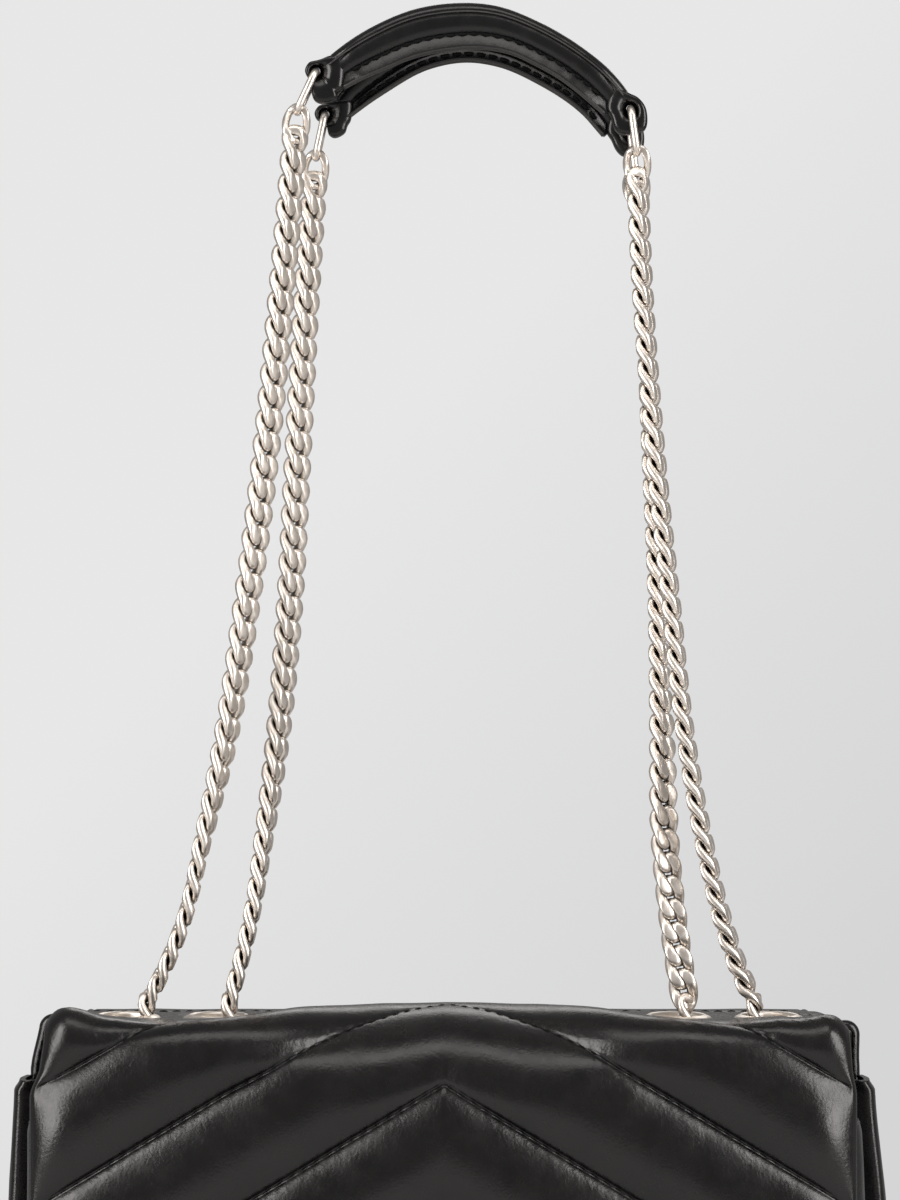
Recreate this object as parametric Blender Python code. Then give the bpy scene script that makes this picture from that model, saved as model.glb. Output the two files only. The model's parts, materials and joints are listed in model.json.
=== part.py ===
"""Quilted flap shoulder bag with a doubled curb-chain strap, in metres, +Z up.

The origin is the middle of the underside. The flap faces -Y and +X is right as seen from the
front. Each body has an empty on its joint's axis, and its pieces are parented to that empty.
"""

import math

import bmesh
import bpy
import numpy as np
from mathutils import Vector

# Fits and stock thicknesses
GAP = 0.0003
OVERRUN = 0.002
LEATHER = 0.0024
FABRIC = 0.001

# Bag body
BACK_WIDTH = 0.233
BACK_TOP_WIDTH = 0.222
FRONT_WIDTH = 0.208
BAG_DEPTH = 0.070
ROOF_HEIGHT = 0.1475
SHOULDER_HEIGHT = 0.1345
BASE_THICKNESS = 0.003
BASE_CORNER = 0.008
BOARD_THICKNESS = 0.002
PANEL_CORNER = 0.006
LINING_HEIGHT = 0.131

# Accordion gussets, as distances from the middle of the bag
GUSSET_BULGE = 0.1168
GUSSET_FRONT_BULGE = 0.1115
GUSSET_FOLD = 0.1035
GUSSET_STATIONS = 17
GUSSET_PLAN_SHARES = (0.25, 0.5, 0.75)

# Slip pocket on the back
POCKET_WIDTH = 0.200
POCKET_TOP = 0.104
POCKET_BOTTOM = 0.014
POCKET_ROOM = 0.0046
POCKET_HEM = 0.008
POCKET_LEATHER = 0.002

# Inner zip pocket
ZIP_LENGTH = 0.150
ZIP_WIDTH = 0.014
ZIP_THICKNESS = 0.0012
ZIP_HEIGHT = 0.104
ZIP_POCKET_DROP = 0.075
SLIDER_LENGTH = 0.009
SLIDER_HEIGHT = 0.007
SLIDER_THICKNESS = 0.0028
SLIDER_END_MARGIN = 0.004
PULL_LENGTH = 0.018
PULL_WIDTH = 0.004
PULL_THICKNESS = 0.001
PULL_HINGE_RADIUS = 0.001

# Magnetic snap
MAGNET_RADIUS = 0.007
MAGNET_THICKNESS = 0.0012
MAGNET_HEIGHT = 0.055

# Flap and roof leather
FLAP_WIDTH = 0.210
FLAP_TOP_WIDTH = 0.204
FLAP_DROP = 0.118
FLAP_CORNER = 0.018
SEAM_THICKNESS = 0.0038
QUILT_RISE = 0.0040
QUILT_EDGE = 0.010
QUILT_EDGE_SHARES = ((0.667, 0.7), (1.0, 0.1))
QUILT_FULLNESS_SHARE = 0.6
LINING_INSET = 0.0033
CHANNEL_SPACING = 0.0311
CHANNEL_SLOPE = 0.60
FIRST_APEX_DROP = 0.0080
ROWS_PER_CHANNEL = 4
ROOF_THICKNESS = 0.0035
ROOF_PUFF = 0.0065
ROOF_COLUMNS = 20
ROOF_ROWS = 8
ROOF_ROUNDING = 0.016
ROOF_LINING_SETBACK = 0.001

# Eyelets
EYELET_EDGE_INSET = 0.0165
EYELET_SPACING = 0.0245
OUTER_EYELET_X = FLAP_TOP_WIDTH / 2 - EYELET_EDGE_INSET
INNER_EYELET_X = OUTER_EYELET_X - EYELET_SPACING
EYELET_Y = 0.0
EYELET_FLANGE_RADIUS = 0.0092
EYELET_HOLE_RADIUS = 0.0060
EYELET_WALL = 0.0008
EYELET_FLANGE_HEIGHT = 0.0014
WASHER_RADIUS = 0.0086
WASHER_THICKNESS = 0.001
ROUND_SIDES = 20

# Chain
CHAIN_WIDTH = 0.0076
CHAIN_THICKNESS = 0.0042
LINK_PITCH = 0.0064
CHAIN_SIDES = 8
CHAIN_PIVOT_RISE = 0.0033
UNDER_CHAIN_DROP = 0.0120
UNDER_CHAIN_STEPS = 20
UNDER_CHAIN_SQUARE_SHARE = 0.4
STRAP_RISE = 0.236
STRAP_SPREAD = 0.0065
FOLD_SHARE = 0.50
FRONT_LEFT_HOLE_OFFSET = 0.0036
FRONT_RIGHT_HOLE_OFFSET = 0.0021
REAR_LEFT_HOLE_OFFSET = 0.0019
REAR_RIGHT_HOLE_OFFSET = -0.0030
ROUTE_SAMPLES = 240

# Pads, their rings and the leather loops that hold the rings
RING_WIRE = 0.0019
RING_LENGTH = 0.0084
RING_WIDTH = 0.0084
RING_CORNER = 0.0023
RING_SIDES = 6
LOOP_RADIUS = 0.0034
LOOP_WIDTH = 0.0040
TONGUE_LENGTH = 0.0065
TONGUE_BOTTOM = -0.0003
TONGUE_TOP = 0.0027
FRONT_PAD_ARCH = 0.0170
REAR_PAD_ARCH = 0.0198
PAD_HEIGHT = 0.0125
PAD_THICKNESS = 0.0075
PAD_LEATHER = 0.0014
PAD_MARGIN = 0.0040
PAD_MARGIN_THICKNESS = 0.0036
PAD_TAPER = 0.0015
PAD_SLIT = 0.0006
PAD_STATIONS = 16

# How far in towards the bag's middle each chain run has come: (share of STRAP_RISE, share of its eyelet's
# distance from the middle)
FRONT_LEFT_ROUTE_SHARES = ((0, 0), (0.04, 0.056), (0.09, 0.112), (0.18, 0.174), (0.3, 0.249),
                           (0.45, 0.314), (0.6, 0.367), (0.8, 0.422), (1, 0.47))
REAR_LEFT_ROUTE_SHARES = ((0, 0), (0.04, 0.042), (0.09, 0.088), (0.18, 0.144), (0.3, 0.207),
                          (0.45, 0.258), (0.6, 0.29), (0.8, 0.332), (0.955, 0.373))
REAR_RIGHT_ROUTE_SHARES = ((0, 0), (0.07, 0.041), (0.18, 0.085), (0.3, 0.097), (0.45, 0.117),
                           (0.6, 0.146), (0.8, 0.18), (0.935, 0.212))
FRONT_RIGHT_ROUTE_SHARES = ((0, 0), (0.04, 0.049), (0.09, 0.096), (0.18, 0.157), (0.3, 0.216),
                            (0.45, 0.262), (0.6, 0.306), (0.8, 0.35), (0.954, 0.369))

# How far a loop stands from the middle: (share of STRAP_RISE, share of STRAP_SPREAD)
SPREAD_SHARES = ((0, 0), (0.15, 0.5), (0.30, 0.85), (0.6, 0.97), (1.0, 1.0))

# How the chain turns edge-on: (share of STRAP_RISE, share of a quarter turn)
FRONT_LEFT_TWIST_SHARES = ((0, 1.0), (0.12, 1.0), (0.30, 0.35), (1.0, 0.3))
REAR_LEFT_TWIST_SHARES = ((0, 1.0), (0.12, 0.95), (0.30, 0.4), (1.0, 0.3))
REAR_RIGHT_TWIST_SHARES = ((0, 0.0), (0.10, 0.05), (0.25, 0.55), (1.0, 0.5))
FRONT_RIGHT_TWIST_SHARES = ((0, 1.0), (0.10, 0.9), (0.25, 0.7), (1.0, 0.6))

# How much of its swell the roof's padding has: (share of half the roof's width, share of ROOF_PUFF)
ROOF_SWELL_SHARES = ((0, 0.95), (0.35, 1.0), (0.45, 0.75), (0.55, 0.12), (0.70, 0.05), (0.84, 0.08),
                     (0.92, 0.35), (1.0, 0.0))

# A chain run's cross-section along one link: (share of the pitch, share of the width, of the thickness)
LINK_WAVE_SHARES = ((0.0, 0.84, 0.86), (0.5, 1.0, 1.0))

# The round end of a chain run: (share of its radius along it, share of its radius across)
ROUND_END_SHARES = ((0.95, 0.31), (0.60, 0.80), (0.0, 1.0))

# Per loop: side of the bag that it hangs to, its eyelets' distance from the middle, and its pad's arch
LOOPS = {
    "front": {"side": -1, "eyelet_x": OUTER_EYELET_X, "arch": FRONT_PAD_ARCH},
    "rear": {"side": 1, "eyelet_x": INNER_EYELET_X, "arch": REAR_PAD_ARCH},
}

# Per run: its loop, side, routes, and how far its ring leans in to the pad, in degrees. hole_offset is how far
# nearer the middle than its eyelet's centre the chain comes up through the hole.
RUNS = {
    "front_left": {"loop": "front", "side": -1, "hole_offset": FRONT_LEFT_HOLE_OFFSET, "ring_lean": 25,
                   "route": FRONT_LEFT_ROUTE_SHARES, "twist": FRONT_LEFT_TWIST_SHARES},
    "front_right": {"loop": "front", "side": 1, "hole_offset": FRONT_RIGHT_HOLE_OFFSET, "ring_lean": 8,
                    "route": FRONT_RIGHT_ROUTE_SHARES, "twist": FRONT_RIGHT_TWIST_SHARES},
    "rear_left": {"loop": "rear", "side": -1, "hole_offset": REAR_LEFT_HOLE_OFFSET, "ring_lean": 12,
                  "route": REAR_LEFT_ROUTE_SHARES, "twist": REAR_LEFT_TWIST_SHARES},
    "rear_right": {"loop": "rear", "side": 1, "hole_offset": REAR_RIGHT_HOLE_OFFSET, "ring_lean": 8,
                   "route": REAR_RIGHT_ROUTE_SHARES, "twist": REAR_RIGHT_TWIST_SHARES},
}

# Edges that bend by more degrees than this stay sharp
SHARP_ANGLE = 35

# Materials: linear colour, roughness, metallic
LEATHER_LOOK = ((0.012, 0.012, 0.013), 0.42, 0.0)
FABRIC_LOOK = ((0.020, 0.020, 0.022), 0.85, 0.0)
BOARD_LOOK = ((0.16, 0.14, 0.11), 0.9, 0.0)
METAL_LOOK = ((0.74, 0.68, 0.60), 0.24, 1.0)
FOAM_LOOK = ((0.10, 0.10, 0.10), 0.95, 0.0)

# Faces and levels that more than one piece shares
BASE_WIDTH = 2 * GUSSET_BULGE + LEATHER
FRONT_FACE_Y = -BAG_DEPTH / 2
BACK_FACE_Y = BAG_DEPTH / 2
FRONT_INNER_Y = FRONT_FACE_Y + LEATHER
BACK_INNER_Y = BACK_FACE_Y - LEATHER
FLOOR_Z = BASE_THICKNESS + GAP
SOCKET_OUTER_Y = FRONT_FACE_Y - GAP - MAGNET_THICKNESS
STUD_OUTER_Y = SOCKET_OUTER_Y - GAP - MAGNET_THICKNESS
FLAP_LINING_INNER_Y = STUD_OUTER_Y - GAP
FLAP_LINING_OUTER_Y = FLAP_LINING_INNER_Y - FABRIC
FLAP_INNER_Y = FLAP_LINING_OUTER_Y - GAP
FLAP_OUTER_Y = FLAP_INNER_Y - SEAM_THICKNESS - QUILT_RISE
FLAP_TOP_Z = ROOF_HEIGHT - GAP
FLAP_BOTTOM_Z = FLAP_TOP_Z - FLAP_DROP
ROOF_HALF_WIDTH = FLAP_TOP_WIDTH / 2
ROOF_FLAT_Z = ROOF_HEIGHT + ROOF_THICKNESS
FLANGE_TOP_Z = ROOF_FLAT_Z + GAP + EYELET_FLANGE_HEIGHT
ROOF_LINING_TOP_Z = ROOF_HEIGHT - GAP
ROOF_LINING_BOTTOM_Z = ROOF_LINING_TOP_Z - FABRIC
WASHER_TOP_Z = ROOF_LINING_BOTTOM_Z - GAP
WASHER_BOTTOM_Z = WASHER_TOP_Z - WASHER_THICKNESS
BARREL_RADIUS = EYELET_HOLE_RADIUS + EYELET_WALL
TUB_HALF_WIDTH = min(GUSSET_FOLD, FRONT_WIDTH / 2) - LEATHER / 2 - GAP
TUB_FRONT_Y = FRONT_INNER_Y + GAP
TUB_BACK_Y = BACK_INNER_Y - GAP - FABRIC - GAP
TUB_FLOOR_Z = FLOOR_Z + BOARD_THICKNESS + GAP
ZIP_BACK_Y = TUB_BACK_Y - FABRIC - GAP
SLIDER_BACK_Y = ZIP_BACK_Y - ZIP_THICKNESS - GAP
SLIDER_FRONT_Y = SLIDER_BACK_Y - SLIDER_THICKNESS
SLIDER_REST_X = -(ZIP_LENGTH - SLIDER_LENGTH) / 2 + SLIDER_END_MARGIN
PULL_AXIS_Y = SLIDER_FRONT_Y - GAP - PULL_HINGE_RADIUS
CHAIN_PIVOT_Z = FLANGE_TOP_Z + CHAIN_PIVOT_RISE
CHAIN_END_RADIUS = CHAIN_THICKNESS / 2
CHAIN_END_STEP = 2 * CHAIN_END_RADIUS + GAP
RING_REACH = CHAIN_END_RADIUS + GAP + RING_WIRE / 2 + RING_LENGTH
PAD_END_SETBACK = LOOP_RADIUS + GAP


def clear_scene():
    for obj in list(bpy.data.objects):
        bpy.data.objects.remove(obj, do_unlink=True)


def make_material(name, look):
    colour, roughness, metallic = look
    material = bpy.data.materials.new(name)
    material.use_nodes = True
    shader = material.node_tree.nodes["Principled BSDF"]
    shader.inputs["Base Color"].default_value = (*colour, 1.0)
    shader.inputs["Roughness"].default_value = roughness
    shader.inputs["Metallic"].default_value = metallic
    material.diffuse_color = (*colour, 1.0)
    return material


def smooth_lookup(table, at):
    """A smooth curve through a table of (place, value), with each point's slope from its neighbours."""
    places = np.array([row[0] for row in table], float)
    values = np.array([row[1] for row in table], float)
    slopes = np.gradient(values, places)
    at = min(max(at, places[0]), places[-1])
    i = min(max(int(np.searchsorted(places, at)) - 1, 0), len(places) - 2)
    span = places[i + 1] - places[i]
    t = (at - places[i]) / span
    start = (2 * t**3 - 3 * t**2 + 1) * values[i] + (t**3 - 2 * t**2 + t) * span * slopes[i]
    end = (3 * t**2 - 2 * t**3) * values[i + 1] + (t**3 - t**2) * span * slopes[i + 1]
    return float(start + end)


def loft(loops, closed=False):
    """A solid through loops of as many points each. Its two ends are capped, or joined if closed."""
    bm = bmesh.new()
    rows = [[bm.verts.new(point) for point in loop] for loop in loops]
    pairs = list(zip(rows, rows[1:]))
    if closed:
        pairs.append((rows[-1], rows[0]))
    else:
        bm.faces.new(rows[0])
        bm.faces.new(rows[-1])
    for first, second in pairs:
        for i in range(len(first)):
            j = (i + 1) % len(first)
            bm.faces.new((first[i], first[j], second[j], second[i]))
    bmesh.ops.recalc_face_normals(bm, faces=bm.faces)
    return bm


def box(low, high):
    bm = bmesh.new()
    bmesh.ops.create_cube(bm, size=1.0)
    for vert in bm.verts:
        for axis in range(3):
            vert.co[axis] = high[axis] if vert.co[axis] > 0 else low[axis]
    return bm


def arc_points(centre, radius, start, end, steps):
    """Points on a circle between two angles in degrees, ends included."""
    angles = np.radians(np.linspace(start, end, steps + 1))
    return [(centre[0] + radius * math.cos(a), centre[1] + radius * math.sin(a)) for a in angles]


def rounded_rectangle(low, high, radius, steps=4):
    """The outline of a rectangle with four round corners, anticlockwise."""
    left, right = low[0] + radius, high[0] - radius
    bottom, top = low[1] + radius, high[1] - radius
    points = []
    for quarter, corner in enumerate(((right, bottom), (right, top), (left, top), (left, bottom))):
        points += arc_points(corner, radius, 90 * quarter - 90, 90 * quarter, steps)
    return points


def upright_plate(outline, y_front, y_back):
    """A plate that stands across the bag: an outline in X and Z between two depths."""
    return loft([[(x, y, z) for x, z in outline] for y in (y_front, y_back)])


def flat_plate(outline, z_low, z_high):
    return loft([[(x, y, z) for x, y in outline] for z in (z_low, z_high)])


def turned_ring(profile, centre):
    """A closed profile of (radius, height) turned about the vertical through centre."""
    loops = []
    for step in range(ROUND_SIDES):
        angle = 2 * math.pi * step / ROUND_SIDES
        x, y = math.cos(angle), math.sin(angle)
        loops.append([(centre[0] + r * x, centre[1] + r * y, z) for r, z in profile])
    return loft(loops, closed=True)


def disc_across(centre, radius, y_front, y_back):
    x, z = centre
    return upright_plate(arc_points((x, z), radius, 0, 360, ROUND_SIDES)[:-1], y_front, y_back)


def run_climb(run, share):
    """How far a chain run has gone from its foot, at this share of the strap's height."""
    loop = LOOPS[RUNS[run]["loop"]]
    inward = loop["eyelet_x"] * smooth_lookup(RUNS[run]["route"], share)
    y = loop["side"] * STRAP_SPREAD * smooth_lookup(SPREAD_SHARES, share)
    return Vector((-RUNS[run]["side"] * inward, y, STRAP_RISE * share))


def run_foot(run):
    """Where a run's middle line starts, one ball's width above the chain that comes up through its hole."""
    side = RUNS[run]["side"]
    in_hole = LOOPS[RUNS[run]["loop"]]["eyelet_x"] - RUNS[run]["hole_offset"]
    start = run_climb(run, 1 / ROUTE_SAMPLES).normalized()
    return Vector((side * in_hole + CHAIN_END_STEP * start.x, EYELET_Y, CHAIN_PIVOT_Z))


def run_point(run, share):
    """A point on a chain run's middle line, at this share of the strap's height."""
    return run_foot(run) + run_climb(run, share)


def run_top_share(run):
    return RUNS[run]["route"][-1][0]


def run_direction(run, share):
    step = 1 / ROUTE_SAMPLES
    low, high = max(share - step, 0), min(share + step, run_top_share(run))
    return (run_point(run, high) - run_point(run, low)).normalized()


def ring_direction(run):
    """From the top of a run towards its pad's leather loop."""
    lean = math.radians(RUNS[run]["ring_lean"])
    inward = -math.copysign(math.sin(lean), run_point(run, run_top_share(run)).x)
    return Vector((inward, 0, math.cos(lean)))


def run_top(run):
    return run_point(run, run_top_share(run))


def loop_centre(run):
    """The middle of the leather loop's eye, where the ring's upper bar lies."""
    return run_top(run) + RING_REACH * ring_direction(run)


def loop_runs(loop):
    return f"{loop}_left", f"{loop}_right"


def body_pivots():
    """Each body's parent and a point on its joint's axis."""
    pivots = {
        "bag": (None, Vector((0, 0, 0))),
        "roof": ("bag", Vector((0, BACK_FACE_Y, ROOF_HEIGHT))),
        "flap": ("roof", Vector((0, FLAP_OUTER_Y, ROOF_HEIGHT))),
        "zip_slider_body": ("bag", Vector((SLIDER_REST_X, SLIDER_BACK_Y, ZIP_HEIGHT))),
        "zip_pull_body": ("zip_slider_body", Vector((SLIDER_REST_X, PULL_AXIS_Y, ZIP_HEIGHT))),
    }
    for loop in LOOPS:
        left, right = loop_runs(loop)
        fold = (run_point(left, FOLD_SHARE) + run_point(right, FOLD_SHARE)) / 2
        pivots[f"{loop}_strap_lower"] = ("roof", Vector((0, EYELET_Y, CHAIN_PIVOT_Z)))
        pivots[f"{loop}_strap_upper"] = (f"{loop}_strap_lower", fold)
        pivots[f"{loop}_pad"] = (f"{loop}_strap_upper", (run_top(left) + run_top(right)) / 2)
    return pivots


class Model:
    """The bodies' empties, the materials, and a call that adds a piece to a body."""

    def __init__(self):
        self.pivots = body_pivots()
        self.empties = {}
        for name, (parent, pivot) in self.pivots.items():
            empty = bpy.data.objects.new(f"{name}_axis", None)
            bpy.context.scene.collection.objects.link(empty)
            empty.location = pivot
            if parent:
                empty.parent = self.empties[parent]
                empty.location = pivot - self.pivots[parent][1]
            self.empties[name] = empty
        self.materials = {
            "leather": make_material("black_leather", LEATHER_LOOK),
            "fabric": make_material("black_lining_fabric", FABRIC_LOOK),
            "board": make_material("grey_board", BOARD_LOOK),
            "metal": make_material("pale_gold_metal", METAL_LOOK),
            "foam": make_material("dark_foam", FOAM_LOOK),
        }

    def add(self, name, bm, body, material, smooth=False):
        """Makes an object of a mesh in world places, with its origin on its body's joint."""
        bmesh.ops.translate(bm, verts=bm.verts, vec=-self.pivots[body][1])
        mesh = bpy.data.meshes.new(name)
        bm.to_mesh(mesh)
        bm.free()
        if smooth:
            mesh.shade_smooth()
            mesh.set_sharp_from_angle(angle=math.radians(SHARP_ANGLE))
        mesh.materials.append(self.materials[material])
        obj = bpy.data.objects.new(name, mesh)
        bpy.context.scene.collection.objects.link(obj)
        obj.parent = self.empties[body]
        return obj

    def add_cutter(self, name, bm, body):
        cutter = self.add(name, bm, body, "board")
        cutter.hide_render = True
        cutter.display_type = "WIRE"
        return cutter


def combine(obj, cutter, operation):
    modifier = obj.modifiers.new(cutter.name, "BOOLEAN")
    modifier.operation = operation
    modifier.object = cutter
    modifier.solver = "EXACT"


def base_panel():
    half = (BASE_WIDTH / 2, BAG_DEPTH / 2)
    outline = rounded_rectangle((-half[0], -half[1]), half, BASE_CORNER)
    return flat_plate(outline, 0, BASE_THICKNESS)


def base_board():
    outline = rounded_rectangle((-TUB_HALF_WIDTH, TUB_FRONT_Y), (TUB_HALF_WIDTH, TUB_BACK_Y), BASE_CORNER)
    return flat_plate(outline, FLOOR_Z, FLOOR_Z + BOARD_THICKNESS)


def front_panel():
    outline = rounded_rectangle((-FRONT_WIDTH / 2, FLOOR_Z), (FRONT_WIDTH / 2, SHOULDER_HEIGHT), PANEL_CORNER)
    return upright_plate(outline, FRONT_FACE_Y, FRONT_INNER_Y)


def back_panel():
    """Full width up to the gussets' tops, then drawn in to the roof, with round top corners."""
    half, top_half, top = BACK_WIDTH / 2, BACK_TOP_WIDTH / 2, ROOF_HEIGHT - GAP
    right = arc_points((half - PANEL_CORNER, FLOOR_Z + PANEL_CORNER), PANEL_CORNER, -90, 0, 4)
    right += [(half, SHOULDER_HEIGHT)]
    right += arc_points((top_half - PANEL_CORNER, top - PANEL_CORNER), PANEL_CORNER, 0, 90, 4)
    left = [(-x, z) for x, z in reversed(right)]
    return upright_plate(right + left, BACK_INNER_Y, BACK_FACE_Y)


def gusset(side):
    """A folded sheet between the front and back panels, drawn in plan and extruded upwards."""
    front_x = FRONT_WIDTH / 2 + GAP + LEATHER / 2
    rear_x = GUSSET_BULGE - LEATHER / 2
    front_y, rear_y = FRONT_FACE_Y + LEATHER / 2, BACK_INNER_Y - GAP
    first, fold, last = GUSSET_PLAN_SHARES
    plan = ((0, front_x), (first, GUSSET_FRONT_BULGE), (fold, GUSSET_FOLD), (last, GUSSET_BULGE), (1, rear_x))
    shares = np.linspace(0, 1, GUSSET_STATIONS)
    middle = [Vector((smooth_lookup(plan, s), front_y + (rear_y - front_y) * s)) for s in shares]
    outer, inner = [], []
    for i, point in enumerate(middle):
        along = (middle[min(i + 1, len(middle) - 1)] - middle[max(i - 1, 0)]).normalized()
        if i in (0, len(middle) - 1):
            along = Vector((0, 1))
        across = Vector((along.y, -along.x)) * LEATHER / 2
        outer.append(point + across)
        inner.append(point - across)
    outline = [(side * p.x, p.y) for p in outer + inner[::-1]]
    return flat_plate(outline, FLOOR_Z, SHOULDER_HEIGHT)


def lining_tub():
    """An open tub: the outer box, less the room inside it."""
    return box((-TUB_HALF_WIDTH, TUB_FRONT_Y, TUB_FLOOR_Z), (TUB_HALF_WIDTH, TUB_BACK_Y, LINING_HEIGHT))


def lining_room():
    low = (-TUB_HALF_WIDTH + FABRIC, TUB_FRONT_Y + FABRIC, TUB_FLOOR_Z + FABRIC)
    high = (TUB_HALF_WIDTH - FABRIC, TUB_BACK_Y - FABRIC, LINING_HEIGHT + OVERRUN)
    return box(low, high)


def pocket_outline(inset, top):
    half = POCKET_WIDTH / 2 - inset
    return rounded_rectangle((-half, POCKET_BOTTOM + inset), (half, top), POCKET_HEM)


def back_pocket():
    """A tray that stands on its open side against the back panel, with its top end open."""
    inner_y = BACK_FACE_Y + GAP
    return upright_plate(pocket_outline(0, POCKET_TOP), inner_y, inner_y + POCKET_ROOM + POCKET_LEATHER)


def pocket_room():
    inner_y = BACK_FACE_Y + GAP
    outline = pocket_outline(POCKET_LEATHER, POCKET_TOP + POCKET_HEM + OVERRUN)
    return upright_plate(outline, inner_y - OVERRUN, inner_y + POCKET_ROOM)


def zip_pocket_bag():
    back = BACK_INNER_Y - GAP
    low = (-ZIP_LENGTH / 2, back - FABRIC, ZIP_HEIGHT - ZIP_POCKET_DROP)
    return box(low, (ZIP_LENGTH / 2, back, ZIP_HEIGHT + ZIP_WIDTH / 2))


def zip_tape():
    low = (-ZIP_LENGTH / 2, ZIP_BACK_Y - ZIP_THICKNESS, ZIP_HEIGHT - ZIP_WIDTH / 2)
    return box(low, (ZIP_LENGTH / 2, ZIP_BACK_Y, ZIP_HEIGHT + ZIP_WIDTH / 2))


def zip_slider():
    low = (SLIDER_REST_X - SLIDER_LENGTH / 2, ZIP_HEIGHT - SLIDER_HEIGHT / 2)
    high = (SLIDER_REST_X + SLIDER_LENGTH / 2, ZIP_HEIGHT + SLIDER_HEIGHT / 2)
    return upright_plate(rounded_rectangle(low, high, SLIDER_THICKNESS / 2), SLIDER_FRONT_Y, SLIDER_BACK_Y)


def zip_pull():
    """A flat tab under a round hinge bar, side view extruded across the bag."""
    bar = arc_points((PULL_AXIS_Y, ZIP_HEIGHT), PULL_HINGE_RADIUS, -60, 240, 8)
    half, bottom = PULL_THICKNESS / 2, ZIP_HEIGHT - PULL_LENGTH
    outline = bar + [(PULL_AXIS_Y - half, bottom), (PULL_AXIS_Y + half, bottom)]
    xs = (SLIDER_REST_X - PULL_WIDTH / 2, SLIDER_REST_X + PULL_WIDTH / 2)
    return loft([[(x, y, z) for y, z in outline] for x in xs])


def flap_outline(top, half_top, half_low, bottom, radius):
    right = arc_points((half_low - radius, bottom + radius), radius, -90, 0, 5) + [(half_top, top)]
    return right + [(-x, z) for x, z in reversed(right)]


def quilted_slab():
    """Padded leather with inverted-V channels, larger than the flap, whose mesh rows follow the seams."""
    half = FLAP_WIDTH / 2
    fullness = {0: 1.0, half - QUILT_EDGE: 1.0}
    for place, full in QUILT_EDGE_SHARES:
        fullness[half - QUILT_EDGE * (1 - place)] = full
    fullness[half + OVERRUN] = QUILT_EDGE_SHARES[-1][1]
    columns = sorted({-x for x in fullness} | set(fullness))
    apex_z = ROOF_HEIGHT - FIRST_APEX_DROP
    step = CHANNEL_SPACING / ROWS_PER_CHANNEL
    above = math.ceil((FLAP_TOP_Z + CHANNEL_SLOPE * half - apex_z) / step) + 1
    below = math.ceil((apex_z - FLAP_BOTTOM_Z) / step) + 1
    loops = []
    for x in columns:
        front = []
        for row in range(-above, below + 1):
            swell = abs(math.sin(math.pi * row / ROWS_PER_CHANNEL)) ** QUILT_FULLNESS_SHARE * fullness[abs(x)]
            z = apex_z - row * step - CHANNEL_SLOPE * abs(x)
            front.append((x, FLAP_INNER_Y - SEAM_THICKNESS - QUILT_RISE * swell, z))
        back = [(x, FLAP_INNER_Y, z) for _, _, z in (front[-1], front[0])]
        loops.append(front + back)
    return loft(loops)


def flap_shape():
    """The flap's outline as a thick plate, which is what remains of the quilted slab."""
    outline = flap_outline(FLAP_TOP_Z, FLAP_TOP_WIDTH / 2, FLAP_WIDTH / 2, FLAP_BOTTOM_Z, FLAP_CORNER)
    return upright_plate(outline, FLAP_OUTER_Y - OVERRUN, FLAP_INNER_Y + OVERRUN)


def flap_lining():
    edge = LINING_INSET
    outline = flap_outline(FLAP_TOP_Z, FLAP_TOP_WIDTH / 2 - edge, FLAP_WIDTH / 2 - edge, FLAP_BOTTOM_Z + edge,
                           FLAP_CORNER - edge)
    return upright_plate(outline, FLAP_LINING_OUTER_Y, FLAP_LINING_INNER_Y)


def roof_top_z(x, y):
    """The roof's upper face: padded in the middle, pressed flat round the eyelets, rolled at its edges."""
    swell = smooth_lookup(ROOF_SWELL_SHARES, abs(x) / ROOF_HALF_WIDTH)
    from_edge = min(y - FLAP_OUTER_Y, BACK_FACE_Y - y) / ROOF_ROUNDING
    rolled = math.sin(math.pi / 2 * min(max(from_edge, 0), 1))
    return ROOF_FLAT_Z + ROOF_PUFF * swell * rolled


def roof_leather():
    xs = np.linspace(-ROOF_HALF_WIDTH, ROOF_HALF_WIDTH, ROOF_COLUMNS + 1)
    ys = np.linspace(FLAP_OUTER_Y, BACK_FACE_Y, ROOF_ROWS + 1)
    loops = []
    for x in xs:
        top = [(x, y, roof_top_z(x, y)) for y in ys]
        loops.append(top + [(x, ys[-1], ROOF_HEIGHT), (x, ys[0], ROOF_HEIGHT)])
    return loft(loops)


def roof_lining():
    half = ROOF_HALF_WIDTH - LINING_INSET
    low = (-half, FLAP_LINING_INNER_Y + GAP, ROOF_LINING_BOTTOM_Z)
    return box(low, (half, BACK_INNER_Y - ROOF_LINING_SETBACK, ROOF_LINING_TOP_Z))


def eyelet_hole(x):
    """A cutter through the roof round an eyelet's barrel, with a flat seat for its flange."""
    hole, seat = BARREL_RADIUS + GAP, EYELET_FLANGE_RADIUS + GAP
    steps = ((hole, ROOF_LINING_BOTTOM_Z - OVERRUN), (hole, ROOF_FLAT_Z), (seat, ROOF_FLAT_Z),
             (seat, ROOF_FLAT_Z + ROOF_PUFF + OVERRUN))
    loops = []
    for radius, z in steps:
        circle = arc_points((x, EYELET_Y), radius, 0, 360, ROUND_SIDES)[:-1]
        loops.append([(px, py, z) for px, py in circle])
    return loft(loops)


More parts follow.
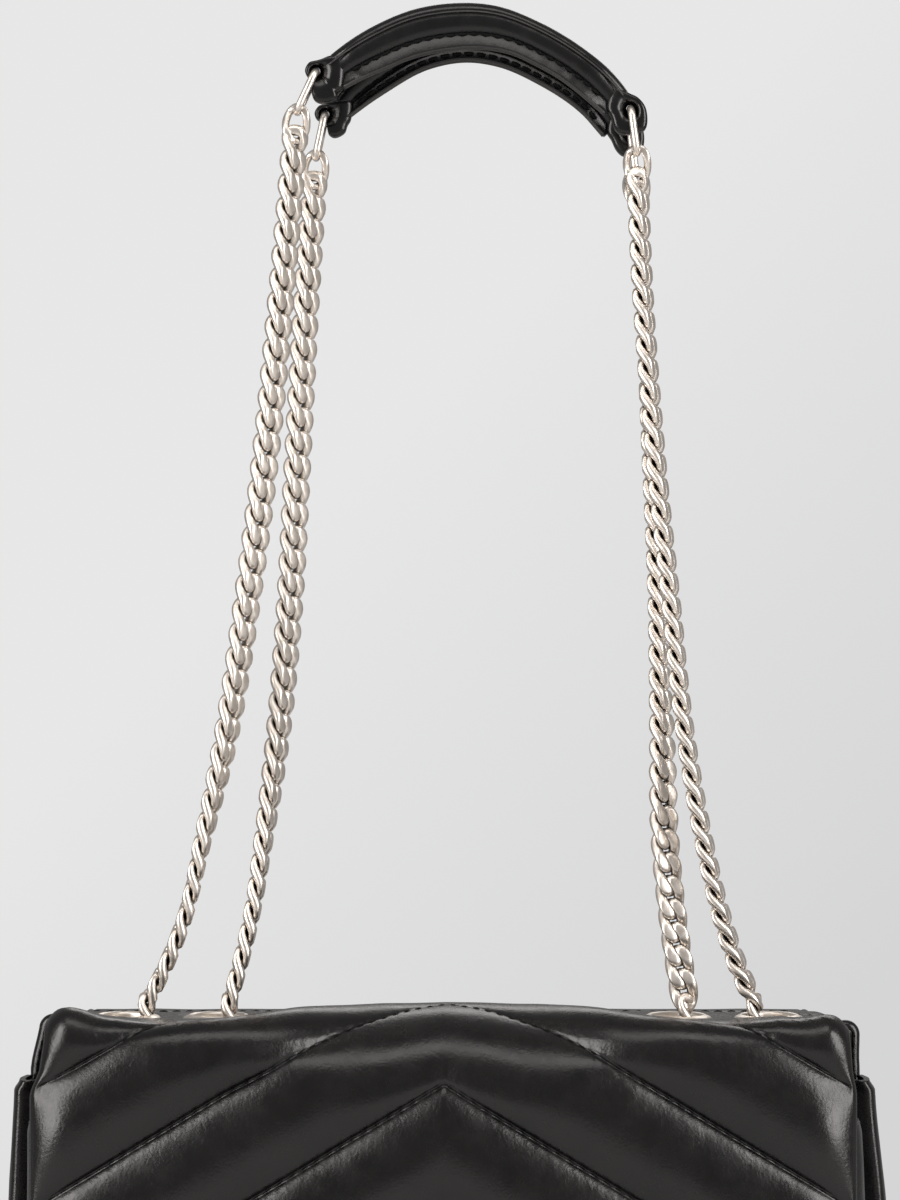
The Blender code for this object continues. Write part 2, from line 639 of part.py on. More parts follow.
def eyelet(x):
    """A barrel under a domed flange."""
    seat = ROOF_FLAT_Z + GAP
    lip = EYELET_FLANGE_RADIUS - EYELET_FLANGE_HEIGHT / 2
    profile = [
        (EYELET_HOLE_RADIUS, WASHER_BOTTOM_Z),
        (EYELET_HOLE_RADIUS, FLANGE_TOP_Z - EYELET_WALL),
        (BARREL_RADIUS, FLANGE_TOP_Z),
        (lip, FLANGE_TOP_Z),
        (EYELET_FLANGE_RADIUS, seat + EYELET_FLANGE_HEIGHT / 2),
        (lip, seat),
        (BARREL_RADIUS, seat),
        (BARREL_RADIUS, WASHER_BOTTOM_Z),
    ]
    return turned_ring(profile, (x, EYELET_Y))


def washer(x):
    inner = BARREL_RADIUS + GAP
    profile = [(inner, WASHER_BOTTOM_Z), (inner, WASHER_TOP_Z), (WASHER_RADIUS, WASHER_TOP_Z),
               (WASHER_RADIUS, WASHER_BOTTOM_Z)]
    return turned_ring(profile, (x, EYELET_Y))


def chain_section(centre, direction, turn, width, thickness):
    """One cross-section of a chain run: an oval whose long side is turned about the run."""
    side = (Vector((1, 0, 0)) - direction * direction.x).normalized()
    if abs(direction.x) > abs(direction.z):
        side = Vector((0, 0, 1)) - direction * direction.z
        side = -side.normalized() if direction.x > 0 else side.normalized()
    other = direction.cross(side)
    wide = side * math.cos(turn) + other * math.sin(turn)
    thin = direction.cross(wide)
    points = []
    for k in range(CHAIN_SIDES):
        angle = 2 * math.pi * (k + 0.5) / CHAIN_SIDES
        points.append(centre + wide * math.cos(angle) * width / 2 + thin * math.sin(angle) * thickness / 2)
    return points


def chain_along(points, turns):
    """A chain run as one knobbly bar with round ends, whose waist falls where two links meet."""
    steps = [0.0]
    for a, b in zip(points, points[1:]):
        steps.append(steps[-1] + (b - a).length)
    length = steps[-1]

    def at(distance):
        distance = min(max(distance, 0), length)
        return Vector([float(np.interp(distance, steps, [p[axis] for p in points])) for axis in range(3)])

    def direction(distance):
        return (at(distance + LINK_PITCH / 4) - at(distance - LINK_PITCH / 4)).normalized()

    def section(distance, width, thickness, beyond=0.0):
        turn = float(np.interp(distance, steps, turns))
        along = direction(distance)
        return chain_section(at(distance) + beyond * along, along, turn, width, thickness)

    radius = CHAIN_END_RADIUS
    loops = []
    for along, across in ROUND_END_SHARES:
        loops.append(section(0, 2 * radius * across, 2 * radius * across, -radius * along))
    links = max(round(length / LINK_PITCH), 1)
    for link in range(links):
        for place, wide, thick in LINK_WAVE_SHARES:
            distance = (link + place) * length / links
            if distance > 0:
                loops.append(section(distance, CHAIN_WIDTH * wide, CHAIN_THICKNESS * thick))
    for along, across in reversed(ROUND_END_SHARES):
        loops.append(section(length, 2 * radius * across, 2 * radius * across, radius * along))
    return loft(loops)


def run_stretch(run, start, end, start_offset=0.0):
    """Part of a run between two shares of the height, begun a little further along it."""
    shares = np.linspace(start + start_offset / STRAP_RISE, end, ROUTE_SAMPLES)
    points = [run_point(run, share) for share in shares]
    turns = [math.pi / 2 * smooth_lookup(RUNS[run]["twist"], share) for share in shares]
    return chain_along(points, turns)


def lower_run(run):
    return run_stretch(run, 0, FOLD_SHARE)


def upper_run(run):
    """Starts one ball's width above the fold, so that it turns about the lower run's round end."""
    rise = CHAIN_END_STEP * run_direction(run, FOLD_SHARE).z
    return run_stretch(run, FOLD_SHARE, run_top_share(run), rise)


def under_chain(outer_run, inner_run):
    """The chain between two eyelets: down through one, under the roof and up through the other."""
    ends = [run_point(run, 0) - CHAIN_END_STEP * run_direction(run, 0) for run in (outer_run, inner_run)]
    middle, half = (ends[0] + ends[1]) / 2, (ends[1] - ends[0]) / 2
    points = []
    for angle in np.linspace(math.pi, 2 * math.pi, UNDER_CHAIN_STEPS + 1):
        across = math.copysign(abs(math.cos(angle)) ** UNDER_CHAIN_SQUARE_SHARE, math.cos(angle))
        down = abs(math.sin(angle)) ** UNDER_CHAIN_SQUARE_SHARE
        points.append(middle + half * across - Vector((0, 0, UNDER_CHAIN_DROP)) * down)
    return chain_along(points, [math.pi / 2] * len(points))


def end_ring(run):
    """An oval wire ring in the plane of the run's end and the bag's depth."""
    up, across = ring_direction(run), Vector((0, 1, 0))
    normal = up.cross(across)
    centre = loop_centre(run) - up * RING_LENGTH / 2
    half = (RING_WIDTH / 2, RING_LENGTH / 2)
    outline = rounded_rectangle((-half[0], -half[1]), half, RING_CORNER, steps=3)
    path = [centre + across * a + up * b for a, b in outline]
    loops = []
    for i, point in enumerate(path):
        along = (path[(i + 1) % len(path)] - path[i - 1]).normalized()
        out = along.cross(normal)
        angles = [2 * math.pi * (k + 0.5) / RING_SIDES for k in range(RING_SIDES)]
        loops.append([point + (out * math.cos(a) + normal * math.sin(a)) * RING_WIRE / 2 for a in angles])
    return loft(loops, closed=True)


def pad_arc(loop):
    """Centre, radius, start angle and end angle of the arch that a pad follows, in X and Z."""
    left, right = (loop_centre(run) for run in loop_runs(loop))
    chord = right - left
    rise = LOOPS[loop]["arch"]
    radius = (chord.length**2 / 4 + rise**2) / (2 * rise)
    up = Vector((-chord.z, 0, chord.x)).normalized()
    centre = (left + right) / 2 - up * (radius - rise)
    start = math.atan2(left.z - centre.z, left.x - centre.x)
    end = math.atan2(right.z - centre.z, right.x - centre.x)
    return centre, radius, start, end


def along_arc(arc, angle, profile):
    """Profile points of (depth, height) set square to a pad's arch at this angle."""
    centre, radius, _, _ = arc
    out = Vector((math.cos(angle), 0, math.sin(angle)))
    return [centre + out * (radius + height) + Vector((0, depth, 0)) for depth, height in profile]


def pad_sweep(loop, profile, setback):
    arc = pad_arc(loop)
    _, radius, start, end = arc
    inset = setback / radius
    angles = np.linspace(start - inset, end + inset, PAD_STATIONS)
    return loft([along_arc(arc, angle, profile) for angle in angles])


def pad_side(half_width, margin_half_width):
    """One face of a folded pad: up its margin, over its round top and down again."""
    bottom = -PAD_HEIGHT / 2
    shoulder = bottom + PAD_MARGIN + PAD_TAPER
    top = arc_points((0, PAD_HEIGHT / 2 - PAD_THICKNESS / 2), half_width, 0, 180, 6)
    right = [(margin_half_width, bottom), (margin_half_width, bottom + PAD_MARGIN), (half_width, shoulder)]
    return right + top + [(-x, z) for x, z in reversed(right)]


def pad_cover(loop):
    outer = pad_side(PAD_THICKNESS / 2, PAD_MARGIN_THICKNESS / 2)
    inner = pad_side(PAD_THICKNESS / 2 - PAD_LEATHER, PAD_SLIT / 2)
    return pad_sweep(loop, outer + inner[::-1], PAD_END_SETBACK)


def pad_core(loop):
    radius = PAD_THICKNESS / 2 - PAD_LEATHER - GAP
    top = arc_points((0, PAD_HEIGHT / 2 - PAD_THICKNESS / 2), radius, 0, 180, 6)
    low = -PAD_HEIGHT / 2 + PAD_MARGIN + PAD_TAPER + GAP
    return pad_sweep(loop, [(radius, low)] + top + [(-radius, low)], PAD_END_SETBACK + TONGUE_LENGTH + GAP)


def pad_loop(run):
    """A leather loop: a round eye and a tongue that runs into the end of the pad."""
    loop = RUNS[run]["loop"]
    centre, _, start, end = pad_arc(loop)
    at_left = run == loop_runs(loop)[0]
    angle = start if at_left else end
    eye = loop_centre(run)
    out = Vector((math.cos(angle), 0, math.sin(angle)))
    into = Vector((out.z, 0, -out.x)) if at_left else Vector((-out.z, 0, out.x))
    reach = PAD_END_SETBACK + TONGUE_LENGTH
    first, last = math.asin(TONGUE_TOP / LOOP_RADIUS), math.asin(TONGUE_BOTTOM / LOOP_RADIUS)
    outline = []
    for turn in np.linspace(first, 2 * math.pi + last, 15):
        outline.append(eye + (into * math.cos(turn) + out * math.sin(turn)) * LOOP_RADIUS)
    bend = reach**2 / (2 * (eye - centre).length)
    for height in (TONGUE_BOTTOM, TONGUE_TOP):
        outline.append(eye + into * reach + out * (height - bend))
    half = Vector((0, LOOP_WIDTH / 2, 0))
    return loft([[p - half for p in outline], [p + half for p in outline]])


def loop_eye(run):
    """A cutter for the hole that the ring's upper bar passes through."""
    eye = loop_centre(run)
    radius = RING_WIRE / 2 + GAP
    reach = LOOP_WIDTH / 2 + OVERRUN
    outline = arc_points((eye.x, eye.z), radius, 0, 360, 12)[:-1]
    return upright_plate(outline, eye.y - reach, eye.y + reach)


def build_bag(model):
    model.add("base_panel", base_panel(), "bag", "leather")
    model.add("base_board", base_board(), "bag", "board")
    model.add("front_panel", front_panel(), "bag", "leather")
    model.add("back_panel", back_panel(), "bag", "leather")
    model.add("left_gusset", gusset(-1), "bag", "leather", smooth=True)
    model.add("right_gusset", gusset(1), "bag", "leather", smooth=True)
    lining = model.add("lining", lining_tub(), "bag", "fabric")
    combine(lining, model.add_cutter("cut_lining_room", lining_room(), "bag"), "DIFFERENCE")
    pocket = model.add("back_pocket", back_pocket(), "bag", "leather")
    combine(pocket, model.add_cutter("cut_pocket_room", pocket_room(), "bag"), "DIFFERENCE")
    model.add("zip_pocket_bag", zip_pocket_bag(), "bag", "fabric")
    model.add("zip_tape", zip_tape(), "bag", "fabric")
    socket = disc_across((0, MAGNET_HEIGHT), MAGNET_RADIUS, SOCKET_OUTER_Y, FRONT_FACE_Y - GAP)
    model.add("magnet_socket", socket, "bag", "metal")
    model.add("zip_slider", zip_slider(), "zip_slider_body", "metal")
    model.add("zip_pull", zip_pull(), "zip_pull_body", "metal")


def build_roof(model):
    leather = model.add("roof_leather", roof_leather(), "roof", "leather", smooth=True)
    lining = model.add("roof_lining", roof_lining(), "roof", "fabric")
    for side, sign in (("left", -1), ("right", 1)):
        for place, distance in (("outer", OUTER_EYELET_X), ("inner", INNER_EYELET_X)):
            name, x = f"{side}_{place}_eyelet", sign * distance
            hole = model.add_cutter(f"cut_{name}", eyelet_hole(x), "roof")
            combine(leather, hole, "DIFFERENCE")
            combine(lining, hole, "DIFFERENCE")
            model.add(name, eyelet(x), "roof", "metal", smooth=True)
            model.add(f"{name}_washer", washer(x), "roof", "metal")
        chain = under_chain(f"front_{side}", f"rear_{side}")
        model.add(f"{side}_under_chain", chain, "roof", "metal", smooth=True)


def build_flap(model):
    leather = model.add("flap_leather", quilted_slab(), "flap", "leather")
    combine(leather, model.add_cutter("cut_flap_shape", flap_shape(), "flap"), "INTERSECT")
    model.add("flap_lining", flap_lining(), "flap", "fabric")
    stud = disc_across((0, MAGNET_HEIGHT), MAGNET_RADIUS, STUD_OUTER_Y, SOCKET_OUTER_Y - GAP)
    model.add("magnet_stud", stud, "flap", "metal")


def build_strap(model):
    for run in RUNS:
        loop = RUNS[run]["loop"]
        model.add(f"{run}_chain_lower", lower_run(run), f"{loop}_strap_lower", "metal", smooth=True)
        model.add(f"{run}_chain_upper", upper_run(run), f"{loop}_strap_upper", "metal", smooth=True)
        model.add(f"{run}_ring", end_ring(run), f"{loop}_pad", "metal", smooth=True)
        leather_loop = model.add(f"{run}_pad_loop", pad_loop(run), f"{loop}_pad", "leather", smooth=True)
        combine(leather_loop, model.add_cutter(f"cut_{run}_eye", loop_eye(run), f"{loop}_pad"), "DIFFERENCE")
    for loop in LOOPS:
        model.add(f"{loop}_pad_cover", pad_cover(loop), f"{loop}_pad", "leather", smooth=True)
        model.add(f"{loop}_pad_core", pad_core(loop), f"{loop}_pad", "foam", smooth=True)


def main():
    clear_scene()
    model = Model()
    build_bag(model)
    build_roof(model)
    build_flap(model)
    build_strap(model)


main()
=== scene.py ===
"""The looks of a quilted flap shoulder bag with a doubled curb-chain strap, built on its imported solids.

Metres, +Z up. The flap faces -Y and +X is right as seen from the front.
"""

import functools
import json
import math

import bmesh
import bpy
import numpy as np
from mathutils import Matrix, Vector, noise


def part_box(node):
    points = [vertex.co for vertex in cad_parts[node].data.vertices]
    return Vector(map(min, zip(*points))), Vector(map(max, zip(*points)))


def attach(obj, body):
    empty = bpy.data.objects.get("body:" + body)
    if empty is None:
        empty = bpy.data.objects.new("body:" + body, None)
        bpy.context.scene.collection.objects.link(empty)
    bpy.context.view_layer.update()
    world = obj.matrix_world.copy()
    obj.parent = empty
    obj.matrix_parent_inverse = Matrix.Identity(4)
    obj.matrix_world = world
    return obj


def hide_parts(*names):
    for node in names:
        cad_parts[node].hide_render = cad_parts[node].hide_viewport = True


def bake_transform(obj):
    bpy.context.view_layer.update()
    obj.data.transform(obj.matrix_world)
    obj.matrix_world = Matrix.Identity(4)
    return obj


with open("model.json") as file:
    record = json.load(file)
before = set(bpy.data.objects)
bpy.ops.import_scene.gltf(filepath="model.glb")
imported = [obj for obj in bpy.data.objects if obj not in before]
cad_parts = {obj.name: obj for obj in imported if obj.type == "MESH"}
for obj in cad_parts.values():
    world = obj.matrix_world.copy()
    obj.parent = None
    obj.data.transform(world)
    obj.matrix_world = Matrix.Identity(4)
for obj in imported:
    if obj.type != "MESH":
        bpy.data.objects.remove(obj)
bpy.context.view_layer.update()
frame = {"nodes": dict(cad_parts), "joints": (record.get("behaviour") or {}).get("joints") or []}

FRONT, BACK = Vector((0, -1, 0)), Vector((0, 1, 0))
UP, ACROSS = Vector((0, 0, 1)), Vector((1, 0, 0))
MM = 0.001

# Places read from the solids
FLAP_LOW, FLAP_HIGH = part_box("flap_leather")
ROOF_LOW, ROOF_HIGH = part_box("roof_leather")
BACK_LOW, BACK_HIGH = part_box("back_panel")
FRONT_LOW, FRONT_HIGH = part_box("front_panel")
BASE_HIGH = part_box("base_panel")[1]
POCKET_LOW, POCKET_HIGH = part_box("back_pocket")
GUSSET_LOW, GUSSET_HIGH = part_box("right_gusset")
TAPE_LOW, TAPE_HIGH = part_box("zip_tape")
SLIDER_LOW, SLIDER_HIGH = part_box("zip_slider")
PULL_LOW, PULL_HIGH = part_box("zip_pull")
CHAIN_PIVOT = Vector(next(j["pos_m"] for j in frame["joints"] if j["name"] == "front_loop_swing"))

# Chain: the runs' lie repeats part.py's sizes and tables of shares
OUTER_EYELET_X = 0.0855
INNER_EYELET_X = 0.0610
STRAP_RISE = 0.236
STRAP_SPREAD = 0.0065
FOLD_SHARE = 0.50
FOOT_STEP = 0.0045
ROUTE_SAMPLES = 240
LINK_PITCH = 0.0064
LINK_HALF_WIDTH = 0.00235
LINK_HALF_LENGTH = 0.0046
LINK_SKEW = 0.0016
LINK_WIDE = 0.00150
LINK_THICK = 0.00130
LINK_FLAT = 0.0020
LINK_FLAT_SHARE = 0.12
# The link that holds a ring: half its wire's width across, half the wire's width and half its thickness
OPEN_LINK = (0.0028, 0.0010, 0.0010)
# A run that stands further inwards than this from its eyelet's middle starts with a slim link, which clears
# the rim as the loop swings down
NEAR_RIM_OFFSET = 0.0030
SLIM_LINK = (0.0017, 0.0012)
LINK_STEPS = 36
WIRE_STEPS = 14
UNDER_CHAIN_DROP = 0.0120
UNDER_CHAIN_STEPS = 60
UNDER_CHAIN_SQUARE_SHARE = 0.4
SPREAD_SHARES = ((0, 0), (0.15, 0.5), (0.30, 0.85), (0.6, 0.97), (1.0, 1.0))
# Each run's way inwards as shares of its eyelet's distance from the middle, and its twist as shares of a
# quarter turn, both at shares of the strap's rise
RUNS = {
    "front_left": {
        "loop": "front", "side": -1, "eyelet_x": OUTER_EYELET_X, "hole_offset": 0.0036, "ring_lean": 25,
        "route_shares": ((0, 0), (0.04, 0.056), (0.09, 0.112), (0.18, 0.174), (0.3, 0.249),
                  (0.45, 0.314), (0.6, 0.367), (0.8, 0.422), (1, 0.47)),
        "twist_shares": ((0, 1.0), (0.12, 1.0), (0.30, 0.66), (1.0, 0.62))},
    "front_right": {
        "loop": "front", "side": 1, "eyelet_x": OUTER_EYELET_X, "hole_offset": 0.0021, "ring_lean": 8,
        "route_shares": ((0, 0), (0.04, 0.049), (0.09, 0.096), (0.18, 0.157), (0.3, 0.216),
                  (0.45, 0.262), (0.6, 0.306), (0.8, 0.35), (0.954, 0.369)),
        "twist_shares": ((0, 0.85), (0.10, 0.85), (0.25, 0.85), (1.0, 0.72))},
    "rear_left": {
        "loop": "rear", "side": -1, "eyelet_x": INNER_EYELET_X, "hole_offset": 0.0019, "ring_lean": 12,
        "route_shares": ((0, 0), (0.04, 0.042), (0.09, 0.088), (0.18, 0.144), (0.3, 0.207),
                  (0.45, 0.258), (0.6, 0.29), (0.8, 0.332), (0.955, 0.373)),
        "twist_shares": ((0, 1.0), (0.12, 0.95), (0.30, 0.66), (1.0, 0.60))},
    "rear_right": {
        "loop": "rear", "side": 1, "eyelet_x": INNER_EYELET_X, "hole_offset": -0.0030, "ring_lean": 8,
        "route_shares": ((0, 0), (0.07, 0.041), (0.18, 0.085), (0.3, 0.097), (0.45, 0.117),
                  (0.6, 0.146), (0.8, 0.18), (0.935, 0.212)),
        "twist_shares": ((0, 0.0), (0.12, 0.1), (0.30, 0.6), (1.0, 0.9))},
}

# Rings and pads
RING_REACH = 0.01175
RING_HALF_WIDTH = 0.0031
RING_ROUND_SHARE = 0.8
RING_WIRE = 0.0020
PAD_STATIONS = 84
# Where a pad's leather starts and ends between its two rings
PAD_SHARES = (0.035, 0.965)
# A pad's thickness at its ends, and over how many stations it fills out
PAD_END_SHARE = 0.62
PAD_END_STATIONS = 9
# Where a pad's stitches and its edge paint, coloured light as a painted highlight, start along it, and how
# much of its length they take up
STITCHED_SHARES = (0.09, 0.82)
PAINTED_SHARES = (0.04, 0.92)
# A pad's top and bottom edge from left to right: (share of its length, millimetres from its arc)
# Its row of stitches: (share of its height from the top, millimetres from its middle)
LOOPS = {
    "front": {
        "side": -1, "arch": 0.0170, "stitch_count": 24, "stitch_row": (0.715, 2.05),
        "top": ((0, 0.6), (0.076, 1.6), (0.198, 3.3), (0.321, 5.0), (0.418, 5.7), (0.529, 6.0),
                (0.652, 4.8), (0.786, 3.8), (0.873, 3.4), (0.951, 2.6), (1, 1.8)),
        "bottom": ((0, -7.6), (0.125, -8.1), (0.188, -8.1), (0.294, -7.3), (0.391, -6.6), (0.504, -5.6),
                   (0.615, -5.3), (0.681, -5.8), (0.776, -6.1), (0.886, -6.4), (1, -5.9))},
    "rear": {
        "side": 1, "arch": 0.0198, "stitch_count": 23, "stitch_row": (0.86, 2.75),
        "top": ((0, 1.2), (0.04, 2.2), (0.19, 5.3), (0.343, 7.4), (0.464, 7.9), (0.543, 7.2),
                (0.693, 4.9), (0.86, 3.4), (0.97, 2.2), (1, 1.8)),
        "bottom": ((0, -4.6), (0.038, -5.0), (0.19, -5.3), (0.343, -3.6), (0.464, -3.1), (0.543, -3.6),
                   (0.693, -5.3), (0.86, -5.9), (0.97, -6.2), (1, -5.8))},
}
# A pad's front face from its top fold down: (half its thickness in millimetres, share of its height)
PAD_FACE = (
    (0.5, 0.0), (1.5, 0.012), (2.6, 0.045), (3.4, 0.105), (3.75, 0.165), (3.80, 0.205), (3.72, 0.222),
    (3.30, 0.228), (3.25, 0.25), (3.55, 0.31), (3.75, 0.40), (3.65, 0.50), (3.1, 0.61), (2.35, 0.675),
    (1.95, 0.70), (1.95, 0.73), (2.25, 0.78), (2.75, 0.88), (3.05, 0.965), (2.85, 0.997), (1.5, 1.0),
    (0.25, 0.90),
)
# The edge paint on a pad's face, whose light colour is partly a painted highlight: (millimetres from its
# middle, share of its height from the top, radius)
PAD_PAINT_AND_HIGHLIGHT = ((3.62, 0.225, 0.00024), (2.55, 0.995, 0.00026), (1.10, 1.0, 0.00026))
PAD_PAINT_STEPS = 90
# Stitches other than the quilting's: (length, radius)
PAD_STITCH = (0.0030, 0.00050)
BINDING_STITCH = (0.0022, 0.0003)
# The leather round each ring, as an outline in millimetres from the ring's upper bar
PAD_ENDS = {
    "front_left": (
        (7.5, 3.2), (4.1, 4.1), (1.5, 3.2), (0, 2.8), (-1.6, 2.4), (-2.6, 1.2), (-2.9, 0), (-2.4, -1.2),
        (-1.6, -2.0), (-1.3, -3.5), (-1.1, -6.0), (-0.4, -7.6), (1.0, -8.4), (3.0, -8.5), (4.9, -7.9),
        (5.7, -7.0), (5.6, -5.5), (7.2, -4.0)),
    "rear_left": (
        (7.2, 3.6), (3.6, 3.9), (1.3, 3.0), (0, 2.7), (-1.5, 2.3), (-2.5, 1.1), (-2.8, 0), (-2.2, -1.3),
        (-0.6, -2.2), (0.6, -3.4), (0.9, -5.2), (2.3, -6.2), (4.0, -5.8), (5.4, -4.7), (6.0, -3.0),
        (7.0, -1.0)),
    "front_right": (
        (-4.6, 5.5), (-1.6, 4.6), (0, 3.9), (2.0, 2.9), (3.7, 0.9), (4.4, -1.5), (4.4, -4.2), (3.7, -5.7),
        (2.4, -6.2), (0.6, -6.6), (-1.0, -7.0), (-3.0, -6.6), (-4.4, -5.0), (-5.2, -2.4), (-6.4, 0.5)),
    "rear_right": (
        (-4.6, 5.5), (-1.6, 4.6), (0, 3.9), (2.0, 2.9), (3.4, 0.9), (3.9, -1.5), (3.7, -4.0), (2.9, -5.5),
        (1.4, -6.4), (-0.6, -6.8), (-2.4, -6.2), (-3.8, -4.6), (-4.8, -2.4), (-6.2, 0.5)),
}
PAD_END_WIDTH = 0.0056
PAD_END_HOLE = 0.00108
# A pad end's face from its outer edge to its hole: (share of the way in, share of half its width)
PAD_END_FACE_SHARES = (
    (0, 0.35), (0.02, 0.66), (0.08, 0.84), (0.22, 0.96), (0.45, 1.0), (0.62, 0.94), (0.80, 0.60), (1.0, 0.05))

# Quilting
CHANNEL_SPACING = 0.0311
CHANNEL_SLOPE = 0.60
SEAM_STRETCH = math.sqrt(1 + CHANNEL_SLOPE**2)
# The power that turns a sine into a channel's full round section
CHANNEL_POWER = 0.62
FIRST_APEX_Z = 0.1395
SEAM_THICKNESS = 0.0038
COLUMN_STEP = 0.00078
ROW_SHARES = (0, 0.02, 0.05, 0.09, 0.14, 0.20, 0.27, 0.35, 0.43, 0.5)
STITCH_PITCH = 0.0036
STITCH_LENGTH = 0.0027
STITCH_RADIUS = 0.00034
# How far along a seam its direction is measured
SEAM_STEP = 0.0004
FLAP_STITCH_LIFT = 0.00008
WALL_STITCH_LIFT = 0.0001
# A stitch from end to end: (share of its length from its middle, then its thickness and its sinking as
# shares of its radius)
STITCH_SHARES = ((-0.5, 0.35, 1.2), (-0.36, 0.9, 0.35), (0, 1.05, -0.1), (0.36, 0.9, 0.35), (0.5, 0.35, 1.2))

# Flap and roof
QUILT_RISE = 0.0044
CREST_QUILT_RISE = 0.0018
MIDDLE_CREST_QUILT_RISE = 0.0005
ROOF_QUILT_RISE = 0.0008
FOLD_RADIUS = 0.0055
MIDDLE_FOLD_RADIUS = 0.0235
# How far the fold's crest stands over the roof's seam level: (distance from the middle, rise)
CROWN = ((0, 0.0063), (0.020, 0.0057), (0.034, 0.0055), (0.042, 0.0050), (0.050, 0.0039), (0.058, 0.0032),
         (0.086, 0.0028), (0.0910, 0.0032), (0.0955, 0.0045), (0.0990, 0.0053), (0.105, 0.0048))
RIGHT_CORNER_DROP = 0.0018
ROOF_BACK_DROP = 0.0012
ROOF_BACK_Y = ROOF_HIGH.y - 0.0035
SEAM_Z = ROOF_LOW.z + 0.0037
SEAM_Y = FLAP_HIGH.y - SEAM_THICKNESS
FOLD_CENTRE = (SEAM_Y + FOLD_RADIUS, SEAM_Z - FOLD_RADIUS)
ROOF_RUN = ROOF_BACK_Y - FOLD_CENTRE[0]
FOLD_RUN = math.pi / 2 * FOLD_RADIUS
FOLD_END = ROOF_RUN + FOLD_RUN
FLAP_END = FOLD_END + FOLD_CENTRE[1] - FLAP_LOW.z
FLAP_HALF = (FLAP_HIGH.x - FLAP_LOW.x) / 2
ROOF_HALF = (ROOF_HIGH.x - ROOF_LOW.x) / 2
FLAP_CORNER = 0.018
FLAP_SEAM = FOLD_END + FOLD_CENTRE[1] - FIRST_APEX_Z
EYELET_HOLE = 0.0071
EYELET_BORE = 0.0066
EYELET_ROW = ROOF_BACK_Y - CHAIN_PIVOT.y
FLAP_SPREAD = -0.0004
EARLY_SPREAD_SHARE = 0.25
FLAP_LEAN = 0.0010
LEVEL_RUN = 0.045
FLAP_SHELL = SEAM_THICKNESS - 0.0006
FLAP_EDGE_ROUND = 0.0011
LINING_DEPTH = SEAM_THICKNESS - 0.0002
LINING_INSET = 0.0030
LINING_START = 0.008
LINING_THICKNESS = 0.0009
# Across the flap: where the broad middle fold starts to narrow and has narrowed, and where the right
# corner starts to drop and has dropped
BROAD_FOLD_REACH = (0.016, 0.068)
CORNER_REACH = (0.088, 0.097)
# How far behind the crest the roof is down at its seam level, and how far its back edge's dip reaches
CREST_RUN = 0.036
ROOF_BACK_RUN = 0.020
# From an eyelet's middle: the leather is pressed flat up to the first distance and full from the second on,
# and no stitch is nearer than the gap
EYELET_FLAT_REACH = (0.0098, 0.0190)
EYELET_STITCH_GAP = 0.0108
# How far in from its edge the padding is full
ROOF_EDGE_REACH = 0.0026
FLAP_EDGE_REACH = 0.0120
# The pleats beside the flap's stitches, how far they reach, and the creases further out
PLEAT_RISE = 0.00013
PLEAT_REACH = 0.0010
CREASE_RISE = 0.00022

# Body: how far each panel's padding rises, and how far in from its edge it is full
FRONT_WALL_RISE, FRONT_WALL_REACH = 0.0011, 0.010
BACK_WALL_RISE, BACK_WALL_REACH = 0.0026, 0.012
POCKET_RISE, POCKET_REACH = 0.0028, 0.014
POCKET_LIP_RISE = 0.0008
WALL_EDGE_ROUND = 0.0006
SHOULDER_Z = 0.1345
# How far under the shoulder's height its step in starts and ends
SHOULDER_STEP = (0.008, 0.0035)
SHOULDER_SHARE = 0.967
BACK_TOP_SHARE = 0.955
BACK_LEAN = 0.0006
BACK_HALF = BACK_HIGH.x
PANEL_CORNER = 0.006
POCKET_HALF = POCKET_HIGH.x
POCKET_CORNER = 0.010
POCKET_LEATHER = 0.0019
POCKET_HEM = 0.010
BINDING_WIDTH, BINDING_THICKNESS = 0.0036, 0.0034
BINDING_BEND = 0.0022
BINDING_STITCH_PITCH = 0.0030
STRIP_BEND = 0.0040
STRIP_DOWN = 0.014
STRIP_OVER = 0.0085
# The right gusset's plan from the front wall to the back wall: (x, y)
GUSSET_PLAN = (
    (0.1048, -0.0332), (0.1074, -0.0290), (0.1084, -0.0215), (0.1077, -0.0125), (0.1052, -0.0050),
    (0.1037, 0.0040), (0.1037, 0.0140), (0.1048, 0.0215), (0.1078, 0.0238), (0.1112, 0.0210),
    (0.1146, 0.0188), (0.1172, 0.0182), (0.1184, 0.0206), (0.1186, 0.0255), (0.1172, 0.0312),
)
GUSSET_LEATHER = 0.0017
GUSSET_TOP_LEAN = 0.0008
GUSSET_FRONT_DROP = 0.0055
# How far a gusset's folds are drawn in near its top, and further at its top edge
GUSSET_SLACK_SHARE = 0.18
GUSSET_ROLL_SHARE = 0.10
# The bottom panel's rolled edge from below: (how far in, height)
BASE_EDGE = ((0.0014, 0.0), (0.0004, 0.0004), (0.0, 0.0012), (0.0, 0.0022), (0.0005, 0.0029),
             (0.0012, BASE_HIGH.z))
BASE_CORNER = 0.008
PIPING_RADIUS = 0.0011
PIPING_OFFSET = 0.0006
TOOTH_PITCH = 0.0016
TURNED_STEPS = 64

# Stage, light and camera
BACKDROP_TOP = (0.80, 0.80, 0.80)
BACKDROP_LOW = (0.665, 0.665, 0.67)
AMBIENT = 0.22
REFLECTED = 0.26
FLOOR_RADIUS = 0.70
FLOOR_STEPS = 96
WARM_WHITE = (1.0, 0.965, 0.94)
LIT_PLACE = Vector((0, 0, 0.16))
CAMERA_PLACE = Vector((0.0007, -1.05, 0.263))
PIXEL = 0.266e-3
PHOTO_HEIGHT = 1200
SENSOR = 36.0


